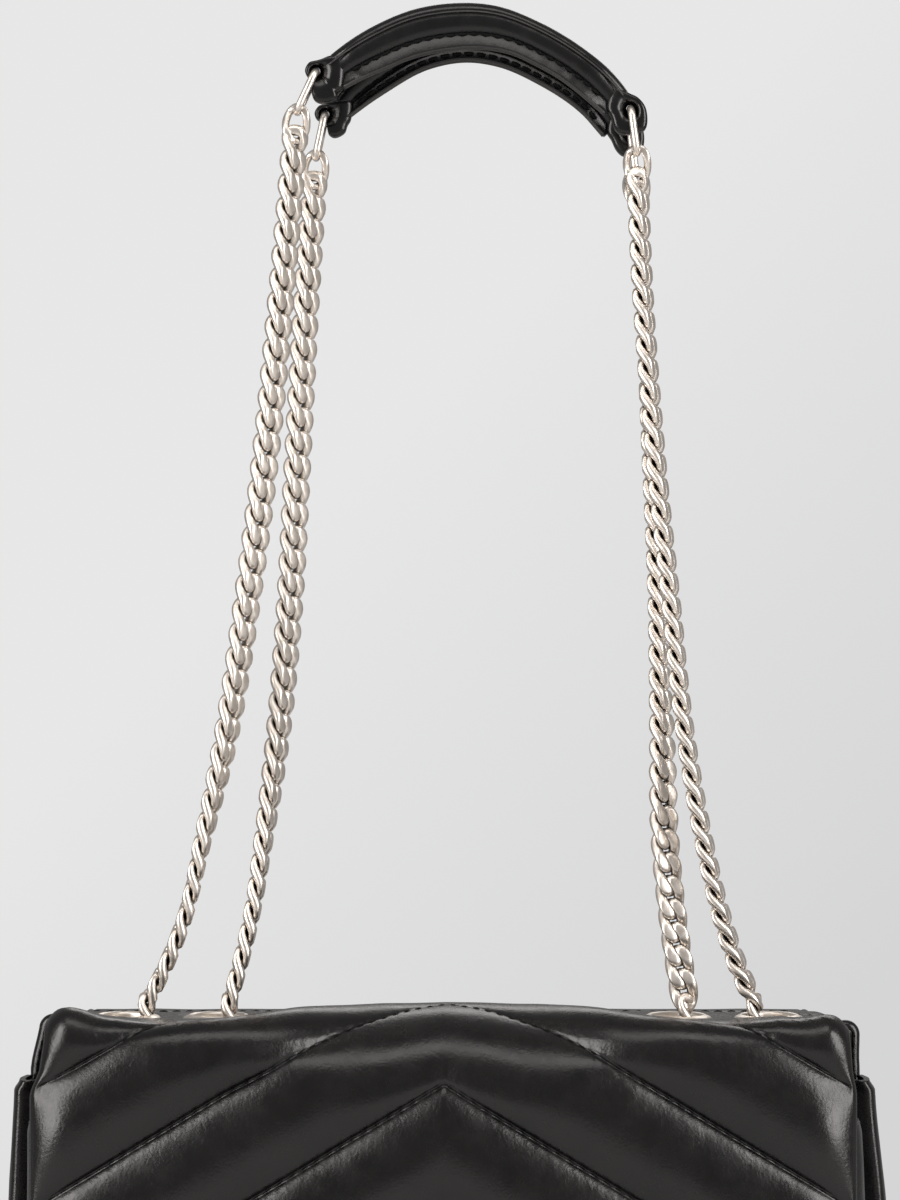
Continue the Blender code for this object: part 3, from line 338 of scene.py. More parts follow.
def smooth_lookup(table, at):
    """A smooth curve through a table of (place, value), with each point's slope from its neighbours."""
    places = np.array([row[0] for row in table], float)
    values = np.array([row[1] for row in table], float)
    slopes = np.gradient(values, places)
    at = min(max(at, places[0]), places[-1])
    i = min(max(int(np.searchsorted(places, at)) - 1, 0), len(places) - 2)
    span = places[i + 1] - places[i]
    t = (at - places[i]) / span
    start = (2 * t**3 - 3 * t**2 + 1) * values[i] + (t**3 - 2 * t**2 + t) * span * slopes[i]
    end = (3 * t**2 - 2 * t**3) * values[i + 1] + (t**3 - t**2) * span * slopes[i + 1]
    return float(start + end)


def smooth_step(value, low, high):
    t = min(max((value - low) / (high - low), 0), 1)
    return t * t * (3 - 2 * t)


def squared(value, power):
    """A sine or cosine drawn towards 1 or -1, which squares a round outline."""
    return math.copysign(abs(value) ** power, value)


@functools.cache
def circle(steps):
    """The cosine and sine of each step round a circle."""
    angles = [2 * math.pi * k / steps for k in range(steps)]
    return [(math.cos(a), math.sin(a)) for a in angles]


def arc_points(centre, radius, start, end, steps):
    angles = np.radians(np.linspace(start, end, steps + 1))
    return [(centre[0] + radius * math.cos(a), centre[1] + radius * math.sin(a)) for a in angles]


def rounded_rectangle(low, high, radius, steps=6):
    left, right = low[0] + radius, high[0] - radius
    bottom, top = low[1] + radius, high[1] - radius
    points = []
    for quarter, corner in enumerate(((right, bottom), (right, top), (left, top), (left, bottom))):
        points += arc_points(corner, radius, 90 * quarter - 90, 90 * quarter, steps)
    return points


def rectangle_round(half_x, half_y, radius, steps=6):
    """A rectangle with round corners about the origin."""
    return rounded_rectangle((-half_x, -half_y), (half_x, half_y), radius, steps)


def divided(outline, step):
    """A closed outline of (a, b) with its long edges cut into steps."""
    points = []
    for (a, b), (next_a, next_b) in zip(outline, outline[1:] + outline[:1]):
        count = max(int(math.hypot(next_a - a, next_b - b) / step), 1)
        points += [(a + (next_a - a) * k / count, b + (next_b - b) * k / count) for k in range(count)]
    return points


def smooth_outline(points, steps):
    """A closed smooth curve through points."""
    smooth = []
    count = len(points)
    for i in range(count):
        a, b, c, d = (points[(i + k) % count] for k in (-1, 0, 1, 2))
        for k in range(steps):
            t = k / steps
            smooth.append(0.5 * (2 * b + (c - a) * t + (2 * a - 5 * b + 4 * c - d) * t**2
                                 + (3 * b - a - 3 * c + d) * t**3))
    return smooth


def corner_inset(x, half, corner):
    """How far a round corner takes a sheet's end back, this far across."""
    beyond = max(abs(x) - (half - corner), 0)
    return corner - math.sqrt(max(corner**2 - beyond**2, 0))


def corner_distance(side, end, corner):
    """How far inside its outline a point is, from its distances to two edges that meet in a round corner."""
    if side < corner and end < corner:
        return corner - math.hypot(corner - side, corner - end)
    return min(side, end)


# Materials

def new_material(name, colour, roughness, metallic=0.0):
    material = bpy.data.materials.new(name)
    material.use_nodes = True
    shader = material.node_tree.nodes["Principled BSDF"]
    shader.inputs["Base Color"].default_value = (*colour, 1.0)
    shader.inputs["Roughness"].default_value = roughness
    shader.inputs["Metallic"].default_value = metallic
    return material, material.node_tree, shader


def add_node(tree, kind, inputs=(), **settings):
    """A node with its settings, and inputs given as (name, value or another node's output)."""
    node = tree.nodes.new(kind)
    for key, value in settings.items():
        setattr(node, key, value)
    for name, value in inputs:
        if isinstance(value, bpy.types.NodeSocket):
            tree.links.new(value, node.inputs[name])
        else:
            node.inputs[name].default_value = value
    return node


def object_coordinates(tree, stretch=(1, 1, 1)):
    source = add_node(tree, "ShaderNodeTexCoord")
    mapping = add_node(tree, "ShaderNodeMapping", [("Vector", source.outputs["Object"]), ("Scale", stretch)])
    return mapping.outputs["Vector"]


def noise_texture(tree, vector, scale, detail=3.0, rough=0.5, distortion=0.0):
    node = add_node(tree, "ShaderNodeTexNoise", [
        ("Vector", vector), ("Scale", scale), ("Detail", detail), ("Roughness", rough),
        ("Distortion", distortion)])
    return node.outputs["Fac"]


def wave_texture(tree, vector, scale, distortion, direction):
    node = add_node(tree, "ShaderNodeTexWave", [
        ("Vector", vector), ("Scale", scale), ("Distortion", distortion)], bands_direction=direction)
    return node.outputs["Fac"]


def map_range(tree, value, low, high, new_low, new_high):
    node = add_node(tree, "ShaderNodeMapRange", [
        ("Value", value), ("From Min", low), ("From Max", high), ("To Min", new_low), ("To Max", new_high)])
    return node.outputs["Result"]


def colour_ramp(tree, value, stops):
    ramp = add_node(tree, "ShaderNodeValToRGB", [("Fac", value)])
    for element, (place, colour) in zip(ramp.color_ramp.elements, stops):
        element.position = place
        element.color = (*colour, 1.0)
    return ramp.outputs["Color"]


def bump(tree, height, distance, strength=1.0, below=None):
    inputs = [("Height", height), ("Distance", distance), ("Strength", strength)]
    if below is not None:
        inputs.append(("Normal", below))
    return add_node(tree, "ShaderNodeBump", inputs).outputs["Normal"]


def leather_material(name, dark, light, roughness, crease):
    """Smooth hide: a cloudy colour, fine creases, pores, and gloss that varies from place to place."""
    material, tree, shader = new_material(name, dark, roughness)
    plain = object_coordinates(tree)
    upright = object_coordinates(tree, (1.0, 1.0, 0.7))
    cloud = noise_texture(tree, plain, scale=60, detail=4, rough=0.6)
    tree.links.new(colour_ramp(tree, cloud, ((0.3, dark), (0.75, light))), shader.inputs["Base Color"])
    patches = noise_texture(tree, plain, scale=140, detail=5, rough=0.65)
    tree.links.new(map_range(tree, patches, 0.3, 0.7, roughness - 0.06, roughness + 0.08),
                   shader.inputs["Roughness"])
    creases = noise_texture(tree, upright, scale=620, detail=6, rough=0.62, distortion=1.2)
    pores = add_node(tree, "ShaderNodeTexVoronoi", [("Vector", plain), ("Scale", 1500.0)],
                     feature="SMOOTH_F1")
    wrinkles = noise_texture(tree, upright, scale=240, detail=3, rough=0.5, distortion=0.6)
    normal = bump(tree, wrinkles, 0.00006, crease)
    normal = bump(tree, creases, 0.00007, crease, normal)
    normal = bump(tree, pores.outputs["Distance"], 0.00003, crease, normal)
    tree.links.new(normal, shader.inputs["Normal"])
    shader.inputs["Specular IOR Level"].default_value = 0.52
    return material


def metal_material(name, colour, roughness):
    """Plating with faint handling marks, an uneven polish, and painted shade where two pieces almost touch.
    """
    material, tree, shader = new_material(name, colour, roughness, 1.0)
    plain = object_coordinates(tree)
    wear = noise_texture(tree, plain, scale=420, detail=4, rough=0.6)
    tree.links.new(map_range(tree, wear, 0.3, 0.7, roughness - 0.05, roughness + 0.09),
                   shader.inputs["Roughness"])
    warmer = tuple(c * s for c, s in zip(colour, (0.97, 0.95, 0.92)))
    clean = colour_ramp(tree, wear, ((0.35, warmer), (0.65, colour)))
    # Painted shade: where ambient occlusion finds near neighbours, the colour darkens towards a tenth of the
    # plating's, so the crevices between links look shaded.
    openness_for_painted_shade = add_node(tree, "ShaderNodeAmbientOcclusion", [("Distance", 0.0016)], samples=6).outputs["AO"]
    clear = map_range(tree, openness_for_painted_shade, 0.20, 0.75, 0.0, 1.0)
    mix = add_node(tree, "ShaderNodeMix", [("Factor", clear)], data_type="RGBA")
    mix.inputs[6].default_value = (*(c * 0.10 for c in warmer), 1.0)
    tree.links.new(clean, mix.inputs[7])
    tree.links.new(mix.outputs[2], shader.inputs["Base Color"])
    waves = noise_texture(tree, plain, scale=300, detail=2)
    tree.links.new(bump(tree, waves, 0.00005, 0.5), shader.inputs["Normal"])
    return material


def thread_material(name, colour):
    material, tree, shader = new_material(name, colour, 0.7)
    twist = wave_texture(tree, object_coordinates(tree), 900.0, 1.0, "DIAGONAL")
    tree.links.new(bump(tree, twist, 0.0001), shader.inputs["Normal"])
    shader.inputs["Specular IOR Level"].default_value = 0.15
    return material


def cloth_material(name, dark, light):
    """A fine plain weave, from two crossed waves."""
    material, tree, shader = new_material(name, dark, 0.8)
    plain = object_coordinates(tree)
    threads = [wave_texture(tree, plain, 800.0, 0.6, direction) for direction in ("X", "Z")]
    weave = add_node(tree, "ShaderNodeMath", [(0, threads[0]), (1, threads[1])], operation="MULTIPLY")
    tree.links.new(colour_ramp(tree, weave.outputs["Value"], ((0.0, dark), (1.0, light))),
                   shader.inputs["Base Color"])
    tree.links.new(bump(tree, weave.outputs["Value"], 0.00015), shader.inputs["Normal"])
    shader.inputs["Sheen Weight"].default_value = 0.2
    return material


LEATHER = leather_material("black_leather", (0.0018, 0.0014, 0.0015), (0.0055, 0.0045, 0.0043), 0.25, 0.8)
LEATHER_FLAT = leather_material(
    "black_smooth_leather", (0.0018, 0.0016, 0.0018), (0.0040, 0.0036, 0.0036), 0.25, 0.4)
# Edge paint, coloured much lighter than the leather: partly real edge paint, partly a painted highlight along
# the pads' edges.
EDGE_PAINT_AND_HIGHLIGHT = leather_material("edge_paint_and_highlight", (0.030, 0.029, 0.028), (0.055, 0.052, 0.050), 0.35, 0.15)
SUEDE = leather_material("flap_lining_leather", (0.014, 0.014, 0.015), (0.022, 0.021, 0.021), 0.62, 0.6)
METAL = metal_material("pale_champagne_metal", (0.93, 0.87, 0.81), 0.36)
THREAD = thread_material("black_thread", (0.003, 0.003, 0.003))
LINING_CLOTH = cloth_material("lining_cloth", (0.010, 0.010, 0.011), (0.030, 0.030, 0.032))
TAPE_CLOTH = cloth_material("zip_tape_cloth", (0.008, 0.008, 0.009), (0.022, 0.022, 0.024))
BOARD = cloth_material("stiffening_board", (0.12, 0.105, 0.085), (0.18, 0.16, 0.13))


# Meshes

def recalculate_normals(obj):
    bm = bmesh.new()
    bm.from_mesh(obj.data)
    bmesh.ops.recalc_face_normals(bm, faces=bm.faces)
    bm.to_mesh(obj.data)
    bm.free()


def new_object(name, points, faces, material):
    mesh = bpy.data.meshes.new(name)
    mesh.from_pydata([tuple(p) for p in points], [], faces)
    mesh.validate()
    mesh.shade_smooth()
    mesh.materials.append(material)
    obj = bpy.data.objects.new(name, mesh)
    bpy.context.scene.collection.objects.link(obj)
    return obj


class Builder:
    """Collects the points and faces of one piece."""

    def __init__(self):
        self.points = []
        self.faces = []

    def rows(self, rows, joined=False):
        """Skins closed rows of as many points each, with the first joined to the last or a cap on both."""
        base, count = len(self.points), len(rows[0])
        for row in rows:
            self.points.extend(row)
        pairs = [(i, i + 1) for i in range(len(rows) - 1)]
        if joined:
            pairs.append((len(rows) - 1, 0))
        for first, second in pairs:
            for j in range(count):
                k = (j + 1) % count
                self.faces.append((base + first * count + j, base + first * count + k,
                                   base + second * count + k, base + second * count + j))
        if not joined:
            self.faces.append(tuple(base + j for j in reversed(range(count))))
            self.faces.append(tuple(base + (len(rows) - 1) * count + j for j in range(count)))

    def object(self, name, material, sharp=None, outward=False):
        """The piece's object, with edges over the angle sharp left crisp and its faces turned outwards."""
        obj = new_object(name, self.points, self.faces, material)
        if sharp:
            obj.data.set_sharp_from_angle(angle=math.radians(sharp))
        if outward:
            recalculate_normals(obj)
        return obj


def tube_rows(path, radius, sides, normal, closed=False):
    """Rings of points round a flat path, kept square to its plane by the plane's normal."""
    rows = []
    count = len(path)
    for i, point in enumerate(path):
        before = path[i - 1] if closed or i else point
        after = path[(i + 1) % count] if closed or i + 1 < count else point
        along = (after - before).normalized()
        side = along.cross(normal).normalized()
        other = along.cross(side)
        rows.append([point + (side * c + other * s) * radius for c, s in circle(sides)])
    return rows


def turned_rows(profile, centre, upright=True):
    """A closed profile of (radius, height) turned about an upright axis, or about one along Y."""
    rows = []
    for c, s in circle(TURNED_STEPS):
        places = [(centre[0] + r * c, centre[1] + r * s, h) for r, h in profile]
        rows.append([Vector((a, b, h) if upright else (a, h, b)) for a, b, h in places])
    return rows


def add_stitch(builder, centre, along, normal, length=STITCH_LENGTH, radius=STITCH_RADIUS):
    """A short thread that dips into the leather at both of its ends."""
    side = along.cross(normal).normalized()
    rows = []
    for share, thick, sink in STITCH_SHARES:
        middle = centre + along * share * length - normal * sink * radius
        rows.append([middle + (side * c + normal * s) * radius * thick for c, s in circle(6)])
    builder.rows(rows)


def label(obj, slot, *nodes):
    if nodes:
        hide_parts(*nodes)


def finish_piece(obj, body, slot, *nodes):
    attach(obj, body)
    label(obj, slot, *nodes)


def blend_flap(obj, slot, *nodes):
    """Bakes the piece's place into its points and hides the solids that it stands for."""
    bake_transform(obj)
    label(obj, slot, *nodes)


def blend_to_roof(obj):
    """Bakes the piece's place into its points."""
    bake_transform(obj)
    label(obj, "leather")


def add_skinned(name, rows, material, body, slot, *nodes, joined=False, sharp=None, outward=False):
    """A piece that is one skin over rows of points."""
    builder = Builder()
    builder.rows(rows, joined)
    finish_piece(builder.object(name, material, sharp, outward), body, slot, *nodes)


# Chain

def run_climb(run, share):
    """How far a chain run has gone from its foot, at this share of the strap's height."""
    values = RUNS[run]
    inward = values["eyelet_x"] * smooth_lookup(values["route_shares"], share)
    y = LOOPS[values["loop"]]["side"] * STRAP_SPREAD * smooth_lookup(SPREAD_SHARES, share)
    return Vector((-values["side"] * inward, y, STRAP_RISE * share))


def run_foot(run):
    values = RUNS[run]
    start = run_climb(run, 1 / ROUTE_SAMPLES).normalized()
    x = values["side"] * (values["eyelet_x"] - values["hole_offset"]) + FOOT_STEP * start.x
    return Vector((x, CHAIN_PIVOT.y, CHAIN_PIVOT.z))


def run_point(run, share):
    return run_foot(run) + run_climb(run, share)


def run_top(run):
    return run_point(run, RUNS[run]["route_shares"][-1][0])


def ring_direction(run):
    lean = math.radians(RUNS[run]["ring_lean"])
    inward = -math.copysign(math.sin(lean), run_top(run).x)
    return Vector((inward, 0, math.cos(lean)))


def loop_centre(run):
    return run_top(run) + RING_REACH * ring_direction(run)


class Line:
    """A sampled line with a turn about itself, read by distance."""

    def __init__(self, points, turns):
        self.points = np.array([list(p) for p in points])
        self.turns = turns
        steps = np.linalg.norm(np.diff(self.points, axis=0), axis=1)
        self.steps = np.concatenate(([0], np.cumsum(steps)))
        self.length = self.steps[-1]

    def at(self, distance):
        return Vector([float(np.interp(distance, self.steps, self.points[:, k])) for k in range(3)])

    def direction(self, distance):
        return (self.at(distance + LINK_PITCH / 2) - self.at(distance - LINK_PITCH / 2)).normalized()

    def turn(self, distance):
        return float(np.interp(distance, self.steps, self.turns))


def link_axes(direction, turn):
    """A link's wide way and its thin way, turned about the line it lies on."""
    side = ACROSS - direction * direction.x
    if abs(direction.x) > abs(direction.z):
        side = (UP - direction * direction.z) * (-1 if direction.x > 0 else 1)
    side.normalize()
    other = direction.cross(side)
    wide = side * math.cos(turn) + other * math.sin(turn)
    return wide, direction.cross(wide)


def link_middle(t, half_width):
    """The middle of a link's wire: an oval whose four quarters lean in turn to either side."""
    x, z = half_width * math.cos(t), LINK_HALF_LENGTH * math.sin(t)
    return Vector((x, -LINK_SKEW * math.sin(2 * t), z))


@functools.cache
def link_shape(half_width=LINK_HALF_WIDTH, wide=LINK_WIDE, thick=LINK_THICK):
    """One curb link as rows round its wire, with its two faces ground nearly flat."""
    rows = []
    for t in np.linspace(0, 2 * math.pi, LINK_STEPS + 1)[:-1]:
        place = link_middle(t, half_width)
        along = (link_middle(t + 0.02, half_width) - link_middle(t - 0.02, half_width)).normalized()
        out = Vector((place.x / half_width**2, 0, place.z / LINK_HALF_LENGTH**2))
        out = (out - along * along.dot(out)).normalized()
        over = along.cross(out)
        row = []
        for c, s in circle(WIRE_STEPS):
            p = place + out * wide * c + over * thick * s
            if abs(p.y) > LINK_FLAT:
                p.y = math.copysign(LINK_FLAT + (abs(p.y) - LINK_FLAT) * LINK_FLAT_SHARE, p.y)
            row.append(p)
        rows.append(row)
    return rows


def add_links(builder, line, start, end, open_end=False, slim_start=False):
    """Links from one distance to another, as many as fit, with the last one open if it holds a ring."""
    count = max(round((end - start) / LINK_PITCH), 1)
    for k in range(count):
        distance = start + (k + 0.5) * (end - start) / count
        shape, turn = link_shape(), line.turn(distance)
        if open_end and k == count - 1:
            shape, turn = link_shape(*OPEN_LINK), 0.0
        elif slim_start and k == 0:
            shape = link_shape(*SLIM_LINK)
        centre, direction = line.at(distance), line.direction(distance)
        wide, thin = link_axes(direction, turn)
        rows = [[centre + wide * p.x + thin * p.y + direction * p.z for p in row] for row in shape]
        builder.rows(rows, joined=True)


def build_chain():
    for run, values in RUNS.items():
        shares = np.linspace(0, values["route_shares"][-1][0], ROUTE_SAMPLES)
        turns = [math.pi / 2 * smooth_lookup(values["twist_shares"], share) for share in shares]
        line = Line([run_point(run, share) for share in shares], turns)
        fold = float(np.interp(FOLD_SHARE, shares, line.steps))
        lower, upper = Builder(), Builder()
        add_links(lower, line, 0, fold, slim_start=values["hole_offset"] > NEAR_RIM_OFFSET)
        add_links(upper, line, fold, line.length, open_end=True)
        for part, builder in (("lower", lower), ("upper", upper)):
            obj = builder.object(f"{run}_links_{part}", METAL)
            finish_piece(obj, f"{values['loop']}_strap_{part}", "metal", f"{run}_chain_{part}")
    drop = UNDER_CHAIN_DROP + CHAIN_PIVOT.z - ROOF_LOW.z - SEAM_THICKNESS
    for side in ("left", "right"):
        ends = [run_point(f"front_{side}", 0), run_point(f"rear_{side}", 0)]
        middle, half = (ends[0] + ends[1]) / 2, (ends[1] - ends[0]) / 2
        points = []
        for angle in np.linspace(math.pi, 2 * math.pi, UNDER_CHAIN_STEPS):
            across = squared(math.cos(angle), UNDER_CHAIN_SQUARE_SHARE)
            down = abs(math.sin(angle)) ** UNDER_CHAIN_SQUARE_SHARE
            points.append(middle + half * across - UP * drop * down)
        line = Line(points, [math.pi / 2] * len(points))
        builder = Builder()
        add_links(builder, line, 0, line.length)
        obj = builder.object(f"{side}_links_under_roof", METAL)
        finish_piece(obj, "roof", "metal", f"{side}_under_chain")


def build_rings():
    """Long oval rings from each run's last link to its pad, seen edge on."""
    for run, values in RUNS.items():
        up = ring_direction(run)
        low = run_top(run)
        top_corner = (RING_HALF_WIDTH, (loop_centre(run) - low).length)
        outline = rounded_rectangle((-RING_HALF_WIDTH, 0), top_corner, RING_HALF_WIDTH * RING_ROUND_SHARE, 8)
        path = [low + BACK * a + up * b for a, b in outline]
        rows = tube_rows(path, RING_WIRE / 2, 14, up.cross(BACK), closed=True)
        body = f"{values['loop']}_pad"
        add_skinned(f"{run}_end_ring", rows, METAL, body, "metal", f"{run}_ring", joined=True)


# Pads

def pad_arc(loop):
    """The arc between a loop's two rings: its middle, radius, and the angles where it starts and ends."""
    left, right = loop_centre(f"{loop}_left"), loop_centre(f"{loop}_right")
    chord = right - left
    rise = LOOPS[loop]["arch"]
    radius = (chord.length**2 / 4 + rise**2) / (2 * rise)
    up = Vector((-chord.z, 0, chord.x)).normalized()
    centre = (left + right) / 2 - up * (radius - rise)
    start = math.atan2(left.z - centre.z, left.x - centre.x)
    end = math.atan2(right.z - centre.z, right.x - centre.x)
    return centre, radius, start, end


def pad_point(loop, arc, share, depth, down):
    """A point on a pad: depth from its middle, and a share of its height below its top edge."""
    centre, radius, start, end = arc
    angle = start + (end - start) * share
    out = Vector((math.cos(angle), 0, math.sin(angle)))
    top, bottom = (smooth_lookup(LOOPS[loop][edge], share) * MM for edge in ("top", "bottom"))
    return centre + out * radius + out * (top + (bottom - top) * down) + Vector((0, depth, 0))


def build_pads():
    """Each pad is a strip of leather folded over its core, with a narrower strap over its top edge."""
    profile = list(PAD_FACE) + [(-y, h) for y, h in reversed(PAD_FACE)]
    for loop, values in LOOPS.items():
        body = f"{loop}_pad"
        arc = pad_arc(loop)
        leather, stitches, paint = Builder(), Builder(), Builder()
        rows = []
        for i, share in enumerate(np.linspace(*PAD_SHARES, PAD_STATIONS)):
            from_end = min(i, PAD_STATIONS - 1 - i)
            full = PAD_END_SHARE + (1 - PAD_END_SHARE) * smooth_step(from_end, 0, PAD_END_STATIONS)
            wave = 1 + 0.012 * math.sin(i * 1.3) + 0.010 * math.sin(i * 0.47)
            rows.append([pad_point(loop, arc, share, y * MM * full * wave, h) for y, h in profile])
        leather.rows(rows)
        obj = leather.object(f"{loop}_pad_leather", LEATHER_FLAT, sharp=42, outward=True)
        finish_piece(obj, body, "leather", f"{loop}_pad_cover", f"{loop}_pad_core")
        down, depth = values["stitch_row"]
        start, length = STITCHED_SHARES
        for k in range(values["stitch_count"]):
            share = start + length * (k + 0.5) / values["stitch_count"]
            for side in (-1, 1):
                here, after = (pad_point(loop, arc, place, side * depth * MM, down)
                               for place in (share, share + 0.01))
                add_stitch(stitches, here, (after - here).normalized(), BACK * side, *PAD_STITCH)
        # Thin light beads along the pad's edges: edge paint whose light colour is a painted highlight.
        start, length = PAINTED_SHARES
        painted = [start + length * k / PAD_PAINT_STEPS for k in range(PAD_PAINT_STEPS + 1)]
        for side in (-1, 1):
            for depth, down, radius in PAD_PAINT_AND_HIGHLIGHT:
                path = [pad_point(loop, arc, share, side * depth * MM, down) for share in painted]
                paint.rows(tube_rows(path, radius, 8, BACK))
        finish_piece(stitches.object(f"{loop}_pad_stitches", THREAD), body, "leather")
        finish_piece(paint.object(f"{loop}_pad_edge_paint_and_highlights", EDGE_PAINT_AND_HIGHLIGHT), body, "leather")


def build_pad_ends():
    """Leather that folds round each ring, with a rounded tail that comes back under the pad."""
    for run, outline in PAD_ENDS.items():
        eye = loop_centre(run)
        rows = []
        for edge in smooth_outline([Vector((x * MM, 0, z * MM)) for x, z in outline], 5):
            hole = edge.normalized() * PAD_END_HOLE
            face = [(eye + edge + (hole - edge) * inward, FRONT * PAD_END_WIDTH / 2 * depth)
                    for inward, depth in PAD_END_FACE_SHARES]
            rows.append([p + y for p, y in face] + [p - y for p, y in reversed(face)])
        add_skinned(f"{run}_pad_end", rows, LEATHER_FLAT, f"{RUNS[run]['loop']}_pad", "leather",
                    f"{run}_pad_loop", joined=True, outward=True)


# Padded sheets

class Chart:
    """A sheet drawn flat in (x, s), cut to an outline and holes, whose rows run along its V seams."""

    def __init__(self, columns, rows, slope, outline, holes=(), hole_radius=0.0):
        self.points, self.faces, self.pinned = [], [], set()
        grid = self.grid(columns, rows, slope, outline)
        dropped = set()
        for i in range(len(columns) - 1):
            for r in range(len(rows) - 1):
                ring = (grid[i][r], grid[i + 1][r], grid[i + 1][r + 1], grid[i][r + 1])
                face = tuple(dict.fromkeys(ring))
                if len(face) < 3:
                    continue
                middle = np.mean([self.points[v] for v in face], axis=0)
                if any(math.hypot(middle[0] - hx, middle[1] - hs) < hole_radius for hx, hs in holes):
                    dropped.update(face)
                else:
                    self.faces.append(face)
        used = set(v for face in self.faces for v in face)
        for v in dropped & used:
            x, s = self.points[v]
            hx, hs = min(holes, key=lambda h: math.hypot(x - h[0], s - h[1]))
            share = hole_radius / math.hypot(x - hx, s - hs)
            self.points[v] = (hx + (x - hx) * share, hs + (s - hs) * share)
            self.pinned.add(v)
        order = {v: n for n, v in enumerate(sorted(used))}
        self.points = [self.points[v] for v in sorted(used)]
        self.faces = [tuple(order[v] for v in face) for face in self.faces]
        self.pinned = {order[v] for v in self.pinned}

    def grid(self, columns, rows, slope, outline):
        """The number of the point at each column and row, where points that fall together are one."""
        index, grid = {}, []
        for x in columns:
            low, high = outline(x)
            column = []
            for row in rows:
                s = min(max(row + slope * abs(x), low), high)
                key = (round(x, 7), round(s, 7))
                if key not in index:
                    index[key] = len(self.points)
                    self.points.append((x, s))
                column.append(index[key])
            grid.append(column)
        return grid

    def border(self):
        """The border's directed edges, with the sheet on their left, and each point's way out."""
        seen = {(a, b) for face in self.faces for a, b in zip(face, face[1:] + face[:1])}
        edges = sorted((a, b) for a, b in seen if (b, a) not in seen)
        out = {}
        for a, b in edges:
            way = np.subtract(self.points[b], self.points[a])
            way = np.array((way[1], -way[0])) / max(np.linalg.norm(way), 1e-9)
            for v in (a, b):
                out[v] = out.get(v, np.zeros(2)) + way
        return edges, {v: way / max(np.linalg.norm(way), 1e-9) for v, way in out.items()}


def shell_object(name, chart, place, rise, thickness, edge_round, material):
    """A closed padded sheet: its face with its rise, its flat back, and a rounded edge between them."""
    count = len(chart.points)
    places = [place(x, s) for x, s in chart.points]
    lift = [rise(x, s) for x, s in chart.points]
    points = [point + normal * up for (point, normal), up in zip(places, lift)]
    points += [point - normal * thickness for point, normal in places]
    faces = list(chart.faces) + [tuple(v + count for v in reversed(face)) for face in chart.faces]
    edges, out = chart.border()
    levels = (0.2, 0.5, 0.8)
    ring = {}
    for v, way in sorted(out.items()):
        x, s = chart.points[v]
        ring[v] = [v]
        for share in levels:
            bulge = 0 if v in chart.pinned else edge_round * math.sin(math.pi * share)
            point, normal = place(x + way[0] * bulge, s + way[1] * bulge)
            ring[v].append(len(points))
            points.append(point + normal * (lift[v] * (1 - share) - thickness * share))
        ring[v].append(v + count)
    for a, b in edges:
        for level in range(len(levels) + 1):
            faces.append((ring[b][level], ring[a][level], ring[a][level + 1], ring[b][level + 1]))
    obj = new_object(name, points, faces, material)
    recalculate_normals(obj)
    return obj


class Quilting:
    """V seams over a sheet: the first one's point, how fast s grows outwards, and the sheet's extent."""

    def __init__(self, first_seam, slope, half, low, high):
        self.first_seam, self.slope, self.half, self.low, self.high = first_seam, slope, half, low, high
        reach = slope * half
        self.start = math.floor((low - max(reach, 0) - first_seam) / CHANNEL_SPACING)
        self.end = math.ceil((high - min(reach, 0) - first_seam) / CHANNEL_SPACING)

    def phase(self, x, s):
        """How many channels a point is from the first seam."""
        return (s - self.first_seam - self.slope * abs(x)) / CHANNEL_SPACING

    def fullness(self, x, s):
        return abs(math.sin(math.pi * self.phase(x, s))) ** CHANNEL_POWER

    def chart(self, corner, column_step, outline, holes=(), hole_radius=0.0):
        columns = side_columns(self.half, corner, column_step)
        return Chart(columns, self.rows(), self.slope, outline, holes, hole_radius)

    def rows(self):
        """Row places that are dense beside each seam, over enough channels to reach the sheet's corners."""
        rows = []
        for channel in range(self.start - 1, self.end + 1):
            seam = self.first_seam + channel * CHANNEL_SPACING
            rows += [seam + share * CHANNEL_SPACING for share in ROW_SHARES[:-1]]
            rows += [seam + (1 - share) * CHANNEL_SPACING for share in reversed(ROW_SHARES[1:])]
        return rows

    def stitches(self, place, rise, lift, keep):
        """Stitches along every seam, from its point outwards on both sides."""
        builder = Builder()
        for channel in range(self.start, self.end + 1):
            for side in (-1, 1):
                for k in range(int(self.half * SEAM_STRETCH / STITCH_PITCH) + 1):
                    x = side * (k + 0.5) * STITCH_PITCH / SEAM_STRETCH
                    s = self.first_seam + channel * CHANNEL_SPACING + self.slope * abs(x)
                    if abs(x) > self.half or not self.low < s < self.high or not keep(x, s):
                        continue
                    point, normal = place(x, s)
                    after, _ = place(x + side * SEAM_STEP, s + self.slope * SEAM_STEP)
                    centre = point + normal * (rise(x, s) + lift)
                    add_stitch(builder, centre, (after - point).normalized(), normal)
        return builder


def side_columns(half, corner, step):
    """Column places from edge to edge, closer together round the corners."""
    flat = half - corner
    count = max(int(flat / step), 2)
    right = [flat * i / count for i in range(count + 1)]
    right += [flat + corner * math.sin(math.pi / 2 * k / 16) for k in range(1, 17)]
    return [-x for x in reversed(right[1:])] + right


def edge_fullness(distance, reach):
    return math.sin(math.pi / 2 * min(max(distance / reach, 0), 1)) ** 0.75


def add_straight_stitches(builder, place, lift, half, s, first):
    """A row of stitches across a sheet. The first and the last are this many pitches in from its edges."""
    for k in range(int(2 * half / STITCH_PITCH) + 1 - round(2 * first)):
        x = -half + (k + first) * STITCH_PITCH
        point, normal = place(x, s)
        add_stitch(builder, point + normal * lift(x, s), ACROSS, normal)


# Flap and roof in one padded sheet

FLAP_QUILTING = Quilting(FLAP_SEAM, CHANNEL_SLOPE, FLAP_HALF, 0, FLAP_END)


def middle_share(x):
    """1 over the middle of the crest, where the fold is broad, and 0 towards the eyelets."""
    return 1 - smooth_step(abs(x), *BROAD_FOLD_REACH)


